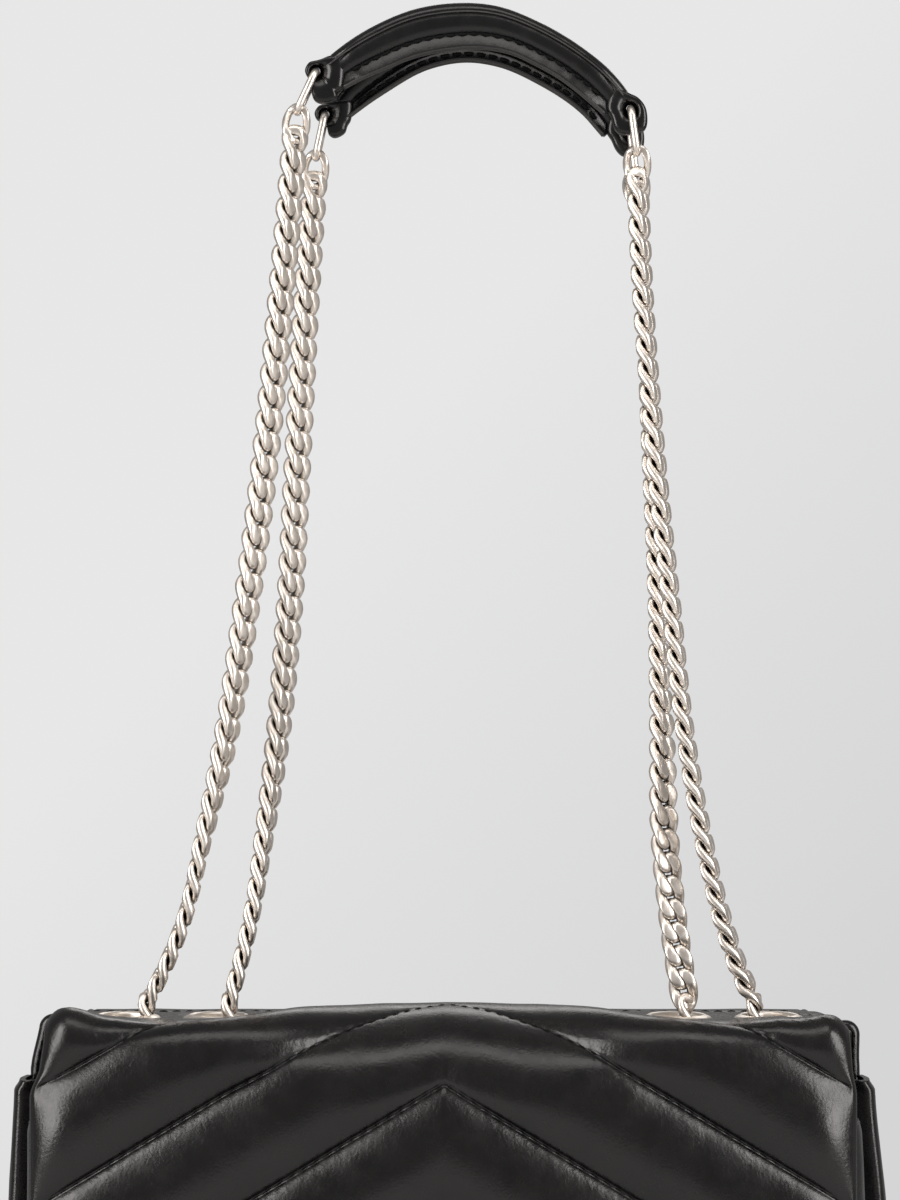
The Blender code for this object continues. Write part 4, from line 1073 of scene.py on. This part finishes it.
@functools.cache
def fold_shape(x):
    """The fold this far across: its radius, its crest's height, and where along s it starts and ends."""
    radius = FOLD_RADIUS + (MIDDLE_FOLD_RADIUS - FOLD_RADIUS) * middle_share(x)
    lift = smooth_lookup(CROWN, abs(x)) - RIGHT_CORNER_DROP * smooth_step(x, *CORNER_REACH)
    end = FOLD_END - lift + radius - FOLD_RADIUS
    return radius, lift, end - math.pi / 2 * radius, end


def flap_line(x, s):
    """The seam level's depth and height at a distance down from the roof's back."""
    radius, lift, start, end = fold_shape(x)
    top = SEAM_Z + lift
    crest_y = SEAM_Y + radius
    if s < start:
        level_y = ROOF_BACK_Y - LEVEL_RUN
        forward = max(s - LEVEL_RUN, 0) / (start - LEVEL_RUN)
        y = ROOF_BACK_Y - min(s, LEVEL_RUN) - (level_y - crest_y) * forward
        fall = lift * smooth_step(y - crest_y, 0, CREST_RUN)
        return Vector((0, y, top - fall - ROOF_BACK_DROP * (1 - smooth_step(s, 0, ROOF_BACK_RUN))))
    if s < end:
        angle = (s - start) / radius
        return Vector((0, crest_y - radius * math.sin(angle), top - radius + radius * math.cos(angle)))
    return Vector((0, SEAM_Y, top - radius - (s - end)))


def flap_place(x, s):
    """The seam level's place and way out. The flap spreads below its fold and hangs a little to the left."""
    point = flap_line(x, s)
    along = flap_line(x, s + 0.0002) - flap_line(x, s - 0.0002)
    normal = Vector((0, along.z, -along.y)).normalized()
    early = smooth_step(s, FOLD_END - 0.006, FOLD_END + 0.002)
    late = smooth_step(s, FOLD_END + 0.001, FOLD_END + 0.010)
    down = EARLY_SPREAD_SHARE * early + (1 - EARLY_SPREAD_SHARE) * late
    wide = (ROOF_HALF + (FLAP_HALF + FLAP_SPREAD - ROOF_HALF) * down) / FLAP_HALF
    return point + ACROSS * (x * wide - FLAP_LEAN * down), normal


def flap_outline(x):
    return 0.0, FLAP_END - corner_inset(x, FLAP_HALF, FLAP_CORNER)


def flap_edge(x, s):
    return corner_distance(FLAP_HALF - abs(x), FLAP_END - s, FLAP_CORNER)


def eyelet_hollow(x, y):
    """1 where the roof is pressed flat round an eyelet, 0 away from them."""
    distance = min(math.hypot(abs(x) - place, y) for place in (OUTER_EYELET_X, INNER_EYELET_X))
    return 1 - smooth_step(distance, *EYELET_FLAT_REACH)


def pucker(x, s):
    """Small pleats that the flap's stitches draw across a seam, and soft creases further out."""
    phase = FLAP_QUILTING.phase(x, s)
    gap = abs(phase - round(phase)) * CHANNEL_SPACING
    stitch = math.cos(2 * math.pi * abs(x) * SEAM_STRETCH / STITCH_PITCH)
    crease = noise.noise(Vector((x * 90, s * 60, 0.3)))
    return PLEAT_RISE * stitch * math.exp(-gap / PLEAT_REACH) + CREASE_RISE * crease


def flap_rise(x, s):
    """The padding over the seam level: low on the roof and over the crest, full on the flap."""
    _, _, start, end = fold_shape(x)
    on_front = smooth_step(s, start - 0.004, end + 0.008)
    near_crest = smooth_step(s, start - 0.026, start - 0.004)
    reach = ROOF_EDGE_REACH + (FLAP_EDGE_REACH - ROOF_EDGE_REACH) * on_front
    edge = edge_fullness(flap_edge(x, s), reach)
    hollow = eyelet_hollow(x, flap_line(x, s).y)
    crest_rise = CREST_QUILT_RISE + (MIDDLE_CREST_QUILT_RISE - CREST_QUILT_RISE) * middle_share(x)
    rise_here = ROOF_QUILT_RISE + (crest_rise - ROOF_QUILT_RISE) * near_crest
    rise_here += (QUILT_RISE - crest_rise) * on_front
    quilt = rise_here * FLAP_QUILTING.fullness(x, s) * smooth_step(s, 0, 0.008)
    return (quilt + pucker(x, s)) * edge * (1 - hollow)


def build_flap():
    eyelets = [side * x for side in (-1, 1) for x in (OUTER_EYELET_X, INNER_EYELET_X)]
    holes = [(x * FLAP_HALF / ROOF_HALF, EYELET_ROW) for x in eyelets]
    chart = FLAP_QUILTING.chart(FLAP_CORNER, COLUMN_STEP, flap_outline, holes, EYELET_HOLE)
    obj = shell_object("quilted_flap", chart, flap_place, flap_rise, FLAP_SHELL, FLAP_EDGE_ROUND, LEATHER)
    blend_flap(obj, "leather", "flap_leather", "roof_leather")

    def keep(x, s):
        clear = all(math.hypot(x - hx, s - hs) > EYELET_STITCH_GAP for hx, hs in holes)
        return clear and s > 0.004 and flap_edge(x, s) > 0.001

    stitches = FLAP_QUILTING.stitches(flap_place, flap_rise, FLAP_STITCH_LIFT, keep)
    blend_flap(stitches.object("quilting_stitches", THREAD), "leather")
    build_flap_lining(holes)


def build_flap_lining(holes):
    """The thin leather that lines the flap and the roof, turned in a little from their edges."""
    def place(x, s):
        point, normal = flap_place(x, s)
        return point - normal * LINING_DEPTH, -normal

    def outline(x):
        low, high = flap_outline(x * FLAP_HALF / (FLAP_HALF - LINING_INSET))
        return low + LINING_START, high - LINING_INSET

    def rise(x, s):
        return LINING_THICKNESS

    rows = list(np.linspace(-0.01, FLAP_END, 90))
    columns = side_columns(FLAP_HALF - LINING_INSET, FLAP_CORNER, 0.004)
    chart = Chart(columns, rows, 0.0, outline, holes, EYELET_HOLE)
    obj = shell_object("flap_lining_sheet", chart, place, rise, 0.0, 0.0003, SUEDE)
    blend_flap(obj, "lining", "flap_lining", "roof_lining")


def build_back_strip():
    """The leather strip that joins the roof to the back wall."""
    half = ROOF_HALF - 0.0030
    top, back = SEAM_Z - ROOF_BACK_DROP + 0.0002, BACK_HIGH.y + 0.0010
    bend_end = STRIP_DOWN + STRIP_BEND * math.pi / 2
    length = bend_end + STRIP_OVER
    seam_inset = 0.0022

    def path(s):
        if s < STRIP_DOWN:
            return Vector((0, back, top - STRIP_BEND - STRIP_DOWN + s)), BACK
        if s < bend_end:
            angle = (s - STRIP_DOWN) / STRIP_BEND
            out = Vector((0, math.cos(angle), math.sin(angle)))
            return Vector((0, back - STRIP_BEND, top - STRIP_BEND)) + out * STRIP_BEND, out
        return Vector((0, back - STRIP_BEND - (s - bend_end), top)), UP

    def place(x, s):
        point, normal = path(s)
        return point + ACROSS * x, normal

    def rise(x, s):
        edge = min(s, length - s, half - abs(x))
        groove = -0.00025 * math.exp(-((edge - seam_inset) / 0.0006) ** 2)
        uneven = 0.0002 * noise.noise(Vector((x * 80, s * 200, 1)))
        return 0.0007 * edge_fullness(edge, 0.0015) + groove + uneven

    rows = list(np.linspace(-0.001, length + 0.001, 54))
    chart = Chart(side_columns(half, 0.003, 0.0024), rows, 0.0, lambda x: (0.0, length))
    blend_to_roof(shell_object("roof_back_strip", chart, place, rise, 0.0009, 0.0004, LEATHER))
    stitches = Builder()
    for s in (seam_inset, length - seam_inset):
        add_straight_stitches(stitches, place, lambda x, s: 0.0007, half, s, 1)
    blend_to_roof(stitches.object("roof_back_strip_stitches", THREAD))


# Walls and pocket

def panel_edge(half, low, high):
    def distance(x, s):
        return min(half - abs(x), s - low, high - s)
    return distance


def panel_outline(half, low, high):
    """A rectangle with four round corners."""
    def outline(x):
        inset = corner_inset(x, half, PANEL_CORNER)
        return low + inset, high - inset
    return outline


def upright_quilting(half, low, high):
    """Quilting whose s runs up from the ground, so that its seams fall as they run outwards."""
    return Quilting(FIRST_APEX_Z, -CHANNEL_SLOPE, half, low, high)


def build_front_panel():
    half, low, high = FRONT_HIGH.x, FRONT_LOW.z, FRONT_HIGH.z
    quilting = upright_quilting(half, low, high)
    edge = panel_edge(half, low, high)

    def place(x, s):
        return Vector((x, FRONT_LOW.y, s)), FRONT

    def rise(x, s):
        return FRONT_WALL_RISE * quilting.fullness(x, s) * edge_fullness(edge(x, s), FRONT_WALL_REACH)

    def keep(x, s):
        return edge(x, s) > 0.003

    chart = quilting.chart(PANEL_CORNER, 0.0025, panel_outline(half, low, high))
    thickness = FRONT_HIGH.y - FRONT_LOW.y
    obj = shell_object("front_wall", chart, place, rise, thickness, WALL_EDGE_ROUND, LEATHER)
    finish_piece(obj, "bag", "leather", "front_panel")
    stitches = quilting.stitches(place, rise, WALL_STITCH_LIFT, keep)
    finish_piece(stitches.object("front_wall_stitches", THREAD), "bag", "leather")


def shoulder_step(s):
    """0 under the step in at the back wall's shoulders, 1 over it."""
    start, end = SHOULDER_STEP
    return smooth_step(s, SHOULDER_Z - start, SHOULDER_Z - end)


def back_width(s):
    """The back wall's width as a share of its greatest: it steps in at its shoulders and then tapers."""
    t = min(max((s - SHOULDER_Z) / (BACK_HIGH.z - SHOULDER_Z), 0), 1)
    return 1 + (SHOULDER_SHARE - 1) * shoulder_step(s) + (BACK_TOP_SHARE - SHOULDER_SHARE) * t


def back_shift(s):
    """The back wall's upper part leans to the right."""
    return -BACK_LEAN * shoulder_step(s) + 2 * BACK_LEAN * smooth_step(s, SHOULDER_Z, BACK_HIGH.z)


def build_back_panel():
    low, high = BACK_LOW.z, BACK_HIGH.z
    quilting = upright_quilting(BACK_HALF, low, high)
    edge = panel_edge(BACK_HALF, low, high)

    def place(x, s):
        return Vector((x * back_width(s), BACK_HIGH.y, s)) + ACROSS * back_shift(s), BACK

    def outside_pocket(x, s):
        return max(smooth_step(s, POCKET_HIGH.z - 0.002, POCKET_HIGH.z + 0.008),
                   smooth_step(abs(x), POCKET_HALF - 0.001, POCKET_HALF + 0.006))

    def rise(x, s):
        full = quilting.fullness(x, s) * edge_fullness(edge(x, s), BACK_WALL_REACH)
        return BACK_WALL_RISE * full * outside_pocket(x, s)

    def keep(x, s):
        return edge(x, s) > 0.004 and outside_pocket(x, s) > 0.5

    chart = quilting.chart(PANEL_CORNER, 0.0022, panel_outline(BACK_HALF, low, high))
    thickness = BACK_HIGH.y - BACK_LOW.y
    obj = shell_object("back_wall", chart, place, rise, thickness, WALL_EDGE_ROUND, LEATHER)
    finish_piece(obj, "bag", "leather", "back_panel")
    stitches = quilting.stitches(place, rise, WALL_STITCH_LIFT, keep)
    finish_piece(stitches.object("back_wall_stitches", THREAD), "bag", "leather")


def build_back_pocket():
    """A patch pocket: its side and lower edges come down to the wall and its mouth stands off it."""
    low, high = POCKET_LOW.z, POCKET_HIGH.z
    stand = POCKET_HIGH.y - POCKET_LOW.y
    quilting = upright_quilting(POCKET_HALF, low, high)

    def from_sewn_edge(x, s):
        return corner_distance(POCKET_HALF - abs(x), s - low, POCKET_CORNER)

    def place(x, s):
        raised = edge_fullness(from_sewn_edge(x, s), 0.010)
        return Vector((x, POCKET_LOW.y + POCKET_LEATHER + (stand - POCKET_LEATHER) * raised, s)), BACK

    def rise(x, s):
        below_hem = smooth_step(high - s, 0.008, 0.014)
        full = quilting.fullness(x, s) * edge_fullness(from_sewn_edge(x, s), POCKET_REACH)
        lip = POCKET_LIP_RISE * math.exp(-((high - s - 0.004) / 0.003) ** 2)
        return POCKET_RISE * full * below_hem + lip

    def stitch_lift(x, s):
        return rise(x, s) + WALL_STITCH_LIFT

    def outline(x):
        return low + corner_inset(x, POCKET_HALF, POCKET_CORNER), high

    def keep(x, s):
        return from_sewn_edge(x, s) > 0.004 and high - s > POCKET_HEM + 0.0025

    chart = quilting.chart(POCKET_CORNER, 0.0020, outline)
    obj = shell_object("back_slip_pocket", chart, place, rise, POCKET_LEATHER, 0.0004, LEATHER)
    finish_piece(obj, "bag", "leather", "back_pocket")
    stitches = quilting.stitches(place, rise, WALL_STITCH_LIFT, keep)
    add_straight_stitches(stitches, place, stitch_lift, POCKET_HALF, high - POCKET_HEM, 1.5)
    finish_piece(stitches.object("pocket_stitches", THREAD), "bag", "leather")


def build_gussets():
    """Accordion walls: a sheet folded once inwards between two outer folds, lower at its front."""
    shares = np.linspace(0, 1, len(GUSSET_PLAN))
    xs, ys = ([(share, point[k]) for share, point in zip(shares, GUSSET_PLAN)] for k in (0, 1))
    inner = FRONT_HIGH.x
    low, high = GUSSET_LOW.z, GUSSET_HIGH.z
    columns = list(np.linspace(0, 1, 97))
    rows = list(np.linspace(0, 0.93, 40)) + list(np.linspace(0.94, 1, 12))
    for name, side in (("left", -1), ("right", 1)):
        def middle(u, s):
            """The leather's middle, a share u of the way back and a share s of the way up."""
            x, y = smooth_lookup(xs, u), smooth_lookup(ys, u)
            top = high - 0.0015 - GUSSET_FRONT_DROP * (1 - smooth_step(y, -0.020, 0.018))
            z = low + (top - low) * s
            roll = smooth_step(top - z, 0.0, 0.003)
            near_top = smooth_step(z, 0.092, high)
            slack = 1 - GUSSET_SLACK_SHARE * near_top - GUSSET_ROLL_SHARE * (1 - roll)
            return Vector((side * (inner + (x - inner) * slack) - GUSSET_TOP_LEAN * near_top, y, z))

        def place(u, s):
            inside = min(max(u, 0.0), 1.0)
            along = (middle(min(inside + 0.006, 1), s) - middle(max(inside - 0.006, 0), s)).normalized()
            normal = Vector((along.y, -along.x, 0)).normalized() * side
            return middle(inside, s) + normal * GUSSET_LEATHER / 2, normal

        def rise(u, s):
            uneven = noise.noise(Vector((u * 9, s * 9, 3.0 + side)))
            return 0.0005 * uneven * math.sin(math.pi * min(max(s, 0), 1))

        chart = Chart(columns, rows, 0.0, lambda u: (0.0, 1.0))
        obj = shell_object(f"{name}_gusset_wall", chart, place, rise, GUSSET_LEATHER, 0.0, LEATHER)
        finish_piece(obj, "bag", "leather", f"{name}_gusset")


def binding_rows(path):
    """Rows round a flat strip with round edges along a path, its flat side turned backwards."""
    outline = rectangle_round(BINDING_WIDTH / 2, BINDING_THICKNESS / 2, BINDING_THICKNESS * 0.49, 3)
    rows = []
    for i, point in enumerate(path):
        along = (path[min(i + 1, len(path) - 1)] - path[max(i - 1, 0)]).normalized()
        normal = (BACK - along * along.dot(BACK)).normalized()
        across = along.cross(normal)
        rows.append([point + across * a + normal * b for a, b in outline])
    return rows


def build_bindings():
    """Stitched bound edges up both sides of the back wall and round its upper corners."""
    y = BACK_HIGH.y - 0.0008
    over_corner, over_dip = 0.0120, 0.0010
    for name, side, under_top in (("left", -1, -0.0004), ("right", 1, 0.0013)):
        top = BACK_HIGH.z - under_top
        path = []
        for s in np.linspace(BACK_LOW.z + 0.003, top - BINDING_BEND, 64):
            path.append(Vector((side * (BACK_HALF * back_width(s) - 0.0006) + back_shift(s), y, s)))
        corner_x = abs(path[-1].x) - BINDING_BEND
        for x, z in arc_points((corner_x, top - BINDING_BEND), BINDING_BEND, 0, 90, 9)[1:]:
            path.append(Vector((side * x, y, z)))
        for share in np.linspace(0, 1, 6)[1:]:
            path.append(Vector((side * (corner_x - over_corner * share), y, top - over_dip * share)))
        binding, stitches = Builder(), Builder()
        binding.rows(binding_rows(path))
        blend_to_roof(binding.object(f"{name}_edge_binding", LEATHER_FLAT))
        line = Line(path, [0] * len(path))
        for k in range(int(line.length / BINDING_STITCH_PITCH)):
            distance = (k + 0.5) * BINDING_STITCH_PITCH
            here, along = line.at(distance), line.direction(distance)
            for face in (FRONT, BACK):
                add_stitch(stitches, here + face * BINDING_THICKNESS / 2, along, face, *BINDING_STITCH)
        blend_to_roof(stitches.object(f"{name}_binding_stitches", THREAD))


def build_base():
    """The bottom panel with rolled edges, and a fine piping round it."""
    half_x, half_y = BASE_HIGH.x, BASE_HIGH.y
    rows = [[Vector((x, y, z)) for x, y in rectangle_round(half_x - inset, half_y - inset, BASE_CORNER)]
            for inset, z in BASE_EDGE]
    add_skinned("bottom_panel", rows, LEATHER, "bag", "leather", "base_panel", sharp=40)
    outline = rectangle_round(half_x - PIPING_OFFSET, half_y - PIPING_OFFSET, BASE_CORNER, 8)
    path = [Vector((x, y, BASE_HIGH.z + PIPING_OFFSET)) for x, y in divided(outline, 0.006)]
    rows = tube_rows(path, PIPING_RADIUS, 10, UP, closed=True)
    add_skinned("bottom_piping", rows, LEATHER_FLAT, "bag", "leather", joined=True)


# Hardware

def eyelet_profile(low, high):
    """Up the bore, over the lip and out across the flange, then back under it and down the barrel."""
    flange, seat, top = (high.x - low.x) / 2, SEAM_Z + 0.0003, high.z
    lip = [(EYELET_BORE + 0.0009 - 0.0009 * math.cos(a), seat + 0.0004 + 0.0010 * math.sin(a))
           for a in np.radians((15, 35, 55, 75, 90))]
    return [(EYELET_BORE, low.z), (EYELET_BORE, seat + 0.0003), *lip, ((EYELET_BORE + flange) / 2, top),
            (flange - 0.0008, top - 0.0002), (flange - 0.0002, top - 0.0005), (flange, seat + 0.0004),
            (flange - 0.0003, seat), (EYELET_HOLE, seat), (EYELET_HOLE, low.z)]


def washer_profile(low, high):
    inner, outer, thick = EYELET_HOLE + 0.0003, (high.x - low.x) / 2, high.z - low.z
    return [(inner, low.z + 0.0002), (inner, high.z), (outer - 0.0002, high.z), (outer, high.z - thick * 0.3),
            (outer - 0.0004, low.z + 0.0001), (outer - 0.0009, low.z)]


def build_eyelets():
    for side, sign in (("left", -1), ("right", 1)):
        for place, x in (("outer", OUTER_EYELET_X), ("inner", INNER_EYELET_X)):
            eyelet = f"{side}_{place}_eyelet"
            for name, profile in ((eyelet, eyelet_profile), (f"{eyelet}_washer", washer_profile)):
                rows = turned_rows(profile(*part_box(name)), (sign * x, CHAIN_PIVOT.y))
                add_skinned(f"{name}_polished", rows, METAL, "roof", "metal", name, joined=True, sharp=55)


def build_snap():
    """A flat magnetic snap: the socket has a ringed dish and the stud a low boss."""
    for name, body, outward in (("magnet_socket", "bag", -1), ("magnet_stud", "flap", 1)):
        low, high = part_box(name)
        centre = ((low.x + high.x) / 2, (low.z + high.z) / 2)
        radius = (high.x - low.x) / 2
        back, front = (high.y, low.y) if outward < 0 else (low.y, high.y)
        step = (front - back) / 4
        dish = front - step * 1.4
        profile = [(0.0001, back), (radius - 0.0003, back), (radius, back + step), (radius, front - step),
                   (radius - 0.0004, front), (radius * 0.72, front), (radius * 0.66, dish),
                   (radius * 0.50, dish), (radius * 0.44, front), (0.0001, front)]
        rows = turned_rows(profile, centre, upright=False)
        add_skinned(f"{name}_disc", rows, METAL, body, "metal", name, joined=True, sharp=35, outward=True)


def build_zip():
    """A short zip in a leather frame: woven tape, interleaved teeth, slider and pull."""
    build_zip_tape()
    build_zip_teeth()
    build_zip_frame()
    build_slider()
    build_pull()


def build_zip_tape():
    heights = np.linspace(TAPE_LOW.z, TAPE_HIGH.z, 15)
    front = [Vector((0, TAPE_LOW.y + 0.0004 + 0.0002 * math.cos(9 * k), z)) for k, z in enumerate(heights)]
    section = front + [Vector((0, TAPE_HIGH.y, z)) for z in (TAPE_HIGH.z, TAPE_LOW.z)]
    rows = [[p + ACROSS * x for p in section] for x in np.linspace(TAPE_LOW.x, TAPE_HIGH.x, 60)]
    add_skinned("zip_tape_woven", rows, TAPE_CLOTH, "bag", "zip", "zip_tape")


def build_zip_teeth():
    """Teeth by turns over and under the zip's middle."""
    outline = rectangle_round(0.00055, 0.0016, 0.0004, 2)
    centre_z = (TAPE_LOW.z + TAPE_HIGH.z) / 2
    end_gap = 0.005
    teeth = Builder()
    for k in range(int((TAPE_HIGH.x - TAPE_LOW.x - 2 * end_gap) / TOOTH_PITCH)):
        x = TAPE_LOW.x + end_gap + k * TOOTH_PITCH
        z = centre_z + (0.0007 if k % 2 else -0.0007)
        teeth.rows([[Vector((x + a * share, TAPE_LOW.y - 0.0001 + depth, z + b * share)) for a, b in outline]
                    for depth, share in ((0.0, 0.8), (0.0003, 1.0), (0.0007, 1.0), (0.0008, 1.0))])
    finish_piece(teeth.object("zip_teeth", METAL, sharp=35), "bag", "zip")


def build_zip_frame():
    """A rounded leather edge round the tape, pressed flatter than a tube."""
    border, corner, flat_share = 0.001, 0.003, 0.55
    depth = TAPE_HIGH.y - 0.0009
    outline = rounded_rectangle((TAPE_LOW.x - border, TAPE_LOW.z - border),
                                (TAPE_HIGH.x + border, TAPE_HIGH.z + border), corner, 5)
    path = [Vector((x, depth, z)) for x, z in divided(outline, 0.008)]
    rows = [[Vector((p.x, depth + (p.y - depth) * flat_share, p.z)) for p in row]
            for row in tube_rows(path, 0.0013, 10, FRONT, closed=True)]
    add_skinned("zip_frame", rows, LEATHER_FLAT, "bag", "leather", joined=True)


def build_slider():
    """A cast slider, waisted at its middle and narrower at its nose."""
    centre = (SLIDER_LOW + SLIDER_HIGH) / 2
    half = (SLIDER_HIGH - SLIDER_LOW) / 2
    rows = []
    for share, full in ((-1, 0.82), (-0.8, 0.95), (-0.4, 1.0), (0.5, 1.0), (1, 0.92)):
        outline = []
        for c, s in circle(40):
            waist = 1 - 0.16 * s**8
            nose = 1 - 0.28 * max(c, 0) ** 3
            x = half.x * squared(c, 0.6) * waist
            z = half.z * squared(s, 0.6) * nose
            outline.append(Vector((centre.x + x * full, centre.y + half.y * share, centre.z + z * full)))
        rows.append(outline)
    add_skinned("zip_slider_cast", rows, METAL, "zip_slider_body", "metal", "zip_slider",
                sharp=40, outward=True)


def build_pull():
    """A flat tab that widens downwards to a round end."""
    centre = (PULL_LOW + PULL_HIGH) / 2
    half_wide, top, bottom = (PULL_HIGH.x - PULL_LOW.x) / 2, PULL_HIGH.z - 0.001, PULL_LOW.z
    end_start, end_round = 0.86, 0.0205
    rows = []
    for share in np.linspace(0, 1, 40):
        z = top + (bottom - top) * share
        end = math.sqrt(max(1 - max(share - end_start, 0) ** 2 / end_round, 0.03))
        wide = half_wide * (0.62 + 0.38 * smooth_step(share, 0.15, 0.9)) * end
        thick = 0.0005 + 0.00045 * (1 - smooth_step(share, 0, 0.1))
        rows.append([Vector((centre.x + wide * squared(c, 0.5), centre.y + thick * squared(s, 0.7), z))
                     for c, s in circle(16)])
    add_skinned("zip_pull_tab", rows, METAL, "zip_pull_body", "metal", "zip_pull", sharp=50, outward=True)


def repaint(node, material):
    """Gives a solid that keeps its shape its finish."""
    obj = frame["nodes"][node]
    obj.data.materials.clear()
    obj.data.materials.append(material)


# Stage, light and camera

def build_floor():
    """A pale disc whose rim fades into the backdrop."""
    points = [Vector((0, 0, 0))]
    points += [Vector((FLOOR_RADIUS * c, FLOOR_RADIUS * s, 0)) for c, s in circle(FLOOR_STEPS)]
    faces = [(0, 1 + k, 1 + (k + 1) % FLOOR_STEPS) for k in range(FLOOR_STEPS)]
    material, tree, shader = new_material("pale_floor", BACKDROP_TOP, 0.7)
    source = add_node(tree, "ShaderNodeTexCoord")
    length = add_node(tree, "ShaderNodeVectorMath", [(0, source.outputs["Object"])], operation="LENGTH")
    fade = map_range(tree, length.outputs["Value"], FLOOR_RADIUS * 0.45, FLOOR_RADIUS * 0.97, 0.0, 1.0)
    clear = add_node(tree, "ShaderNodeBsdfTransparent")
    mix = add_node(tree, "ShaderNodeMixShader", [
        ("Fac", fade), (1, shader.outputs["BSDF"]), (2, clear.outputs["BSDF"])])
    tree.links.new(mix.outputs["Shader"], tree.nodes["Material Output"].inputs["Surface"])
    floor = new_object("floor", points, faces, material)


def build_world():
    """A pale backdrop for the camera, and a darker room for the surfaces that reflect or are lit by it."""
    world = bpy.data.worlds.new("studio")
    bpy.context.scene.world = world
    world.use_nodes = True
    tree = world.node_tree
    tree.nodes.clear()
    source = add_node(tree, "ShaderNodeTexCoord")
    split = add_node(tree, "ShaderNodeSeparateXYZ", [("Vector", source.outputs["Generated"])])
    across = add_node(tree, "ShaderNodeMath", [(0, split.outputs["X"]), (1, split.outputs["Z"])],
                      operation="SUBTRACT")
    fade = map_range(tree, across.outputs["Value"], -0.06, 0.20, 0.0, 1.0)
    colour = colour_ramp(tree, fade, ((0.0, BACKDROP_TOP), (1.0, BACKDROP_LOW)))
    backdrop, ambient, reflected = (
        add_node(tree, "ShaderNodeBackground", [("Color", shade), ("Strength", strength)]).outputs[0]
        for shade, strength in ((colour, 1.0), ((1, 1, 1, 1), AMBIENT), ((1, 0.985, 0.97, 1), REFLECTED)))
    path = add_node(tree, "ShaderNodeLightPath")
    unseen = add_node(tree, "ShaderNodeMixShader", [
        ("Fac", path.outputs["Is Glossy Ray"]), (1, ambient), (2, reflected)])
    mix = add_node(tree, "ShaderNodeMixShader", [
        ("Fac", path.outputs["Is Camera Ray"]), (1, unseen.outputs[0]), (2, backdrop)])
    output = add_node(tree, "ShaderNodeOutputWorld")
    tree.links.new(mix.outputs["Shader"], output.inputs["Surface"])


def add_softbox(name, place, size, radiance):
    """A rectangular lamp aimed at the bag, as bright to look at as its radiance."""
    lamp = bpy.data.lights.new(name, "AREA")
    lamp.shape = "RECTANGLE"
    lamp.size, lamp.size_y = size
    lamp.energy = radiance * math.pi * size[0] * size[1]
    lamp.color = WARM_WHITE
    obj = bpy.data.objects.new(name, lamp)
    bpy.context.scene.collection.objects.link(obj)
    obj.location = place
    obj.rotation_euler = (LIT_PLACE - Vector(place)).to_track_quat("-Z", "Y").to_euler()


def build_lights():
    """Tall soft boxes to the left and right, a wide one above and one behind."""
    add_softbox("left_softbox", (-0.82, -0.66, 0.42), (0.42, 0.95), 7.0)
    add_softbox("right_softbox", (0.84, -0.64, 0.42), (0.40, 0.95), 7.0)
    add_softbox("top_softbox", (0, -0.50, 1.15), (0.9, 0.4), 2.4)
    add_softbox("back_softbox", (0.2, 1.15, 0.9), (0.9, 0.4), 2.0)


def build_camera():
    """Level, with no shift, at the height and distance that the photograph was fitted to."""
    camera = bpy.data.cameras.new("camera")
    camera.sensor_fit = "VERTICAL"
    camera.sensor_height = SENSOR
    camera.lens = SENSOR * abs(CAMERA_PLACE.y) / (PIXEL * PHOTO_HEIGHT)
    camera.clip_start = 0.01
    obj = bpy.data.objects.new("camera", camera)
    bpy.context.scene.collection.objects.link(obj)
    obj.location = CAMERA_PLACE
    obj.rotation_euler = (math.radians(90), 0, 0)
    bpy.context.scene.camera = obj


def main():
    build_camera()
    build_world()
    build_lights()
    build_floor()
    build_flap()
    build_back_strip()
    build_front_panel()
    build_back_panel()
    build_back_pocket()
    build_gussets()
    build_bindings()
    build_base()
    build_eyelets()
    build_snap()
    build_zip()
    build_chain()
    build_rings()
    build_pads()
    build_pad_ends()
    repaint("lining", LINING_CLOTH)
    repaint("zip_pocket_bag", LINING_CLOTH)
    repaint("base_board", BOARD)
    bpy.context.scene.view_settings.view_transform = "Standard"


main()
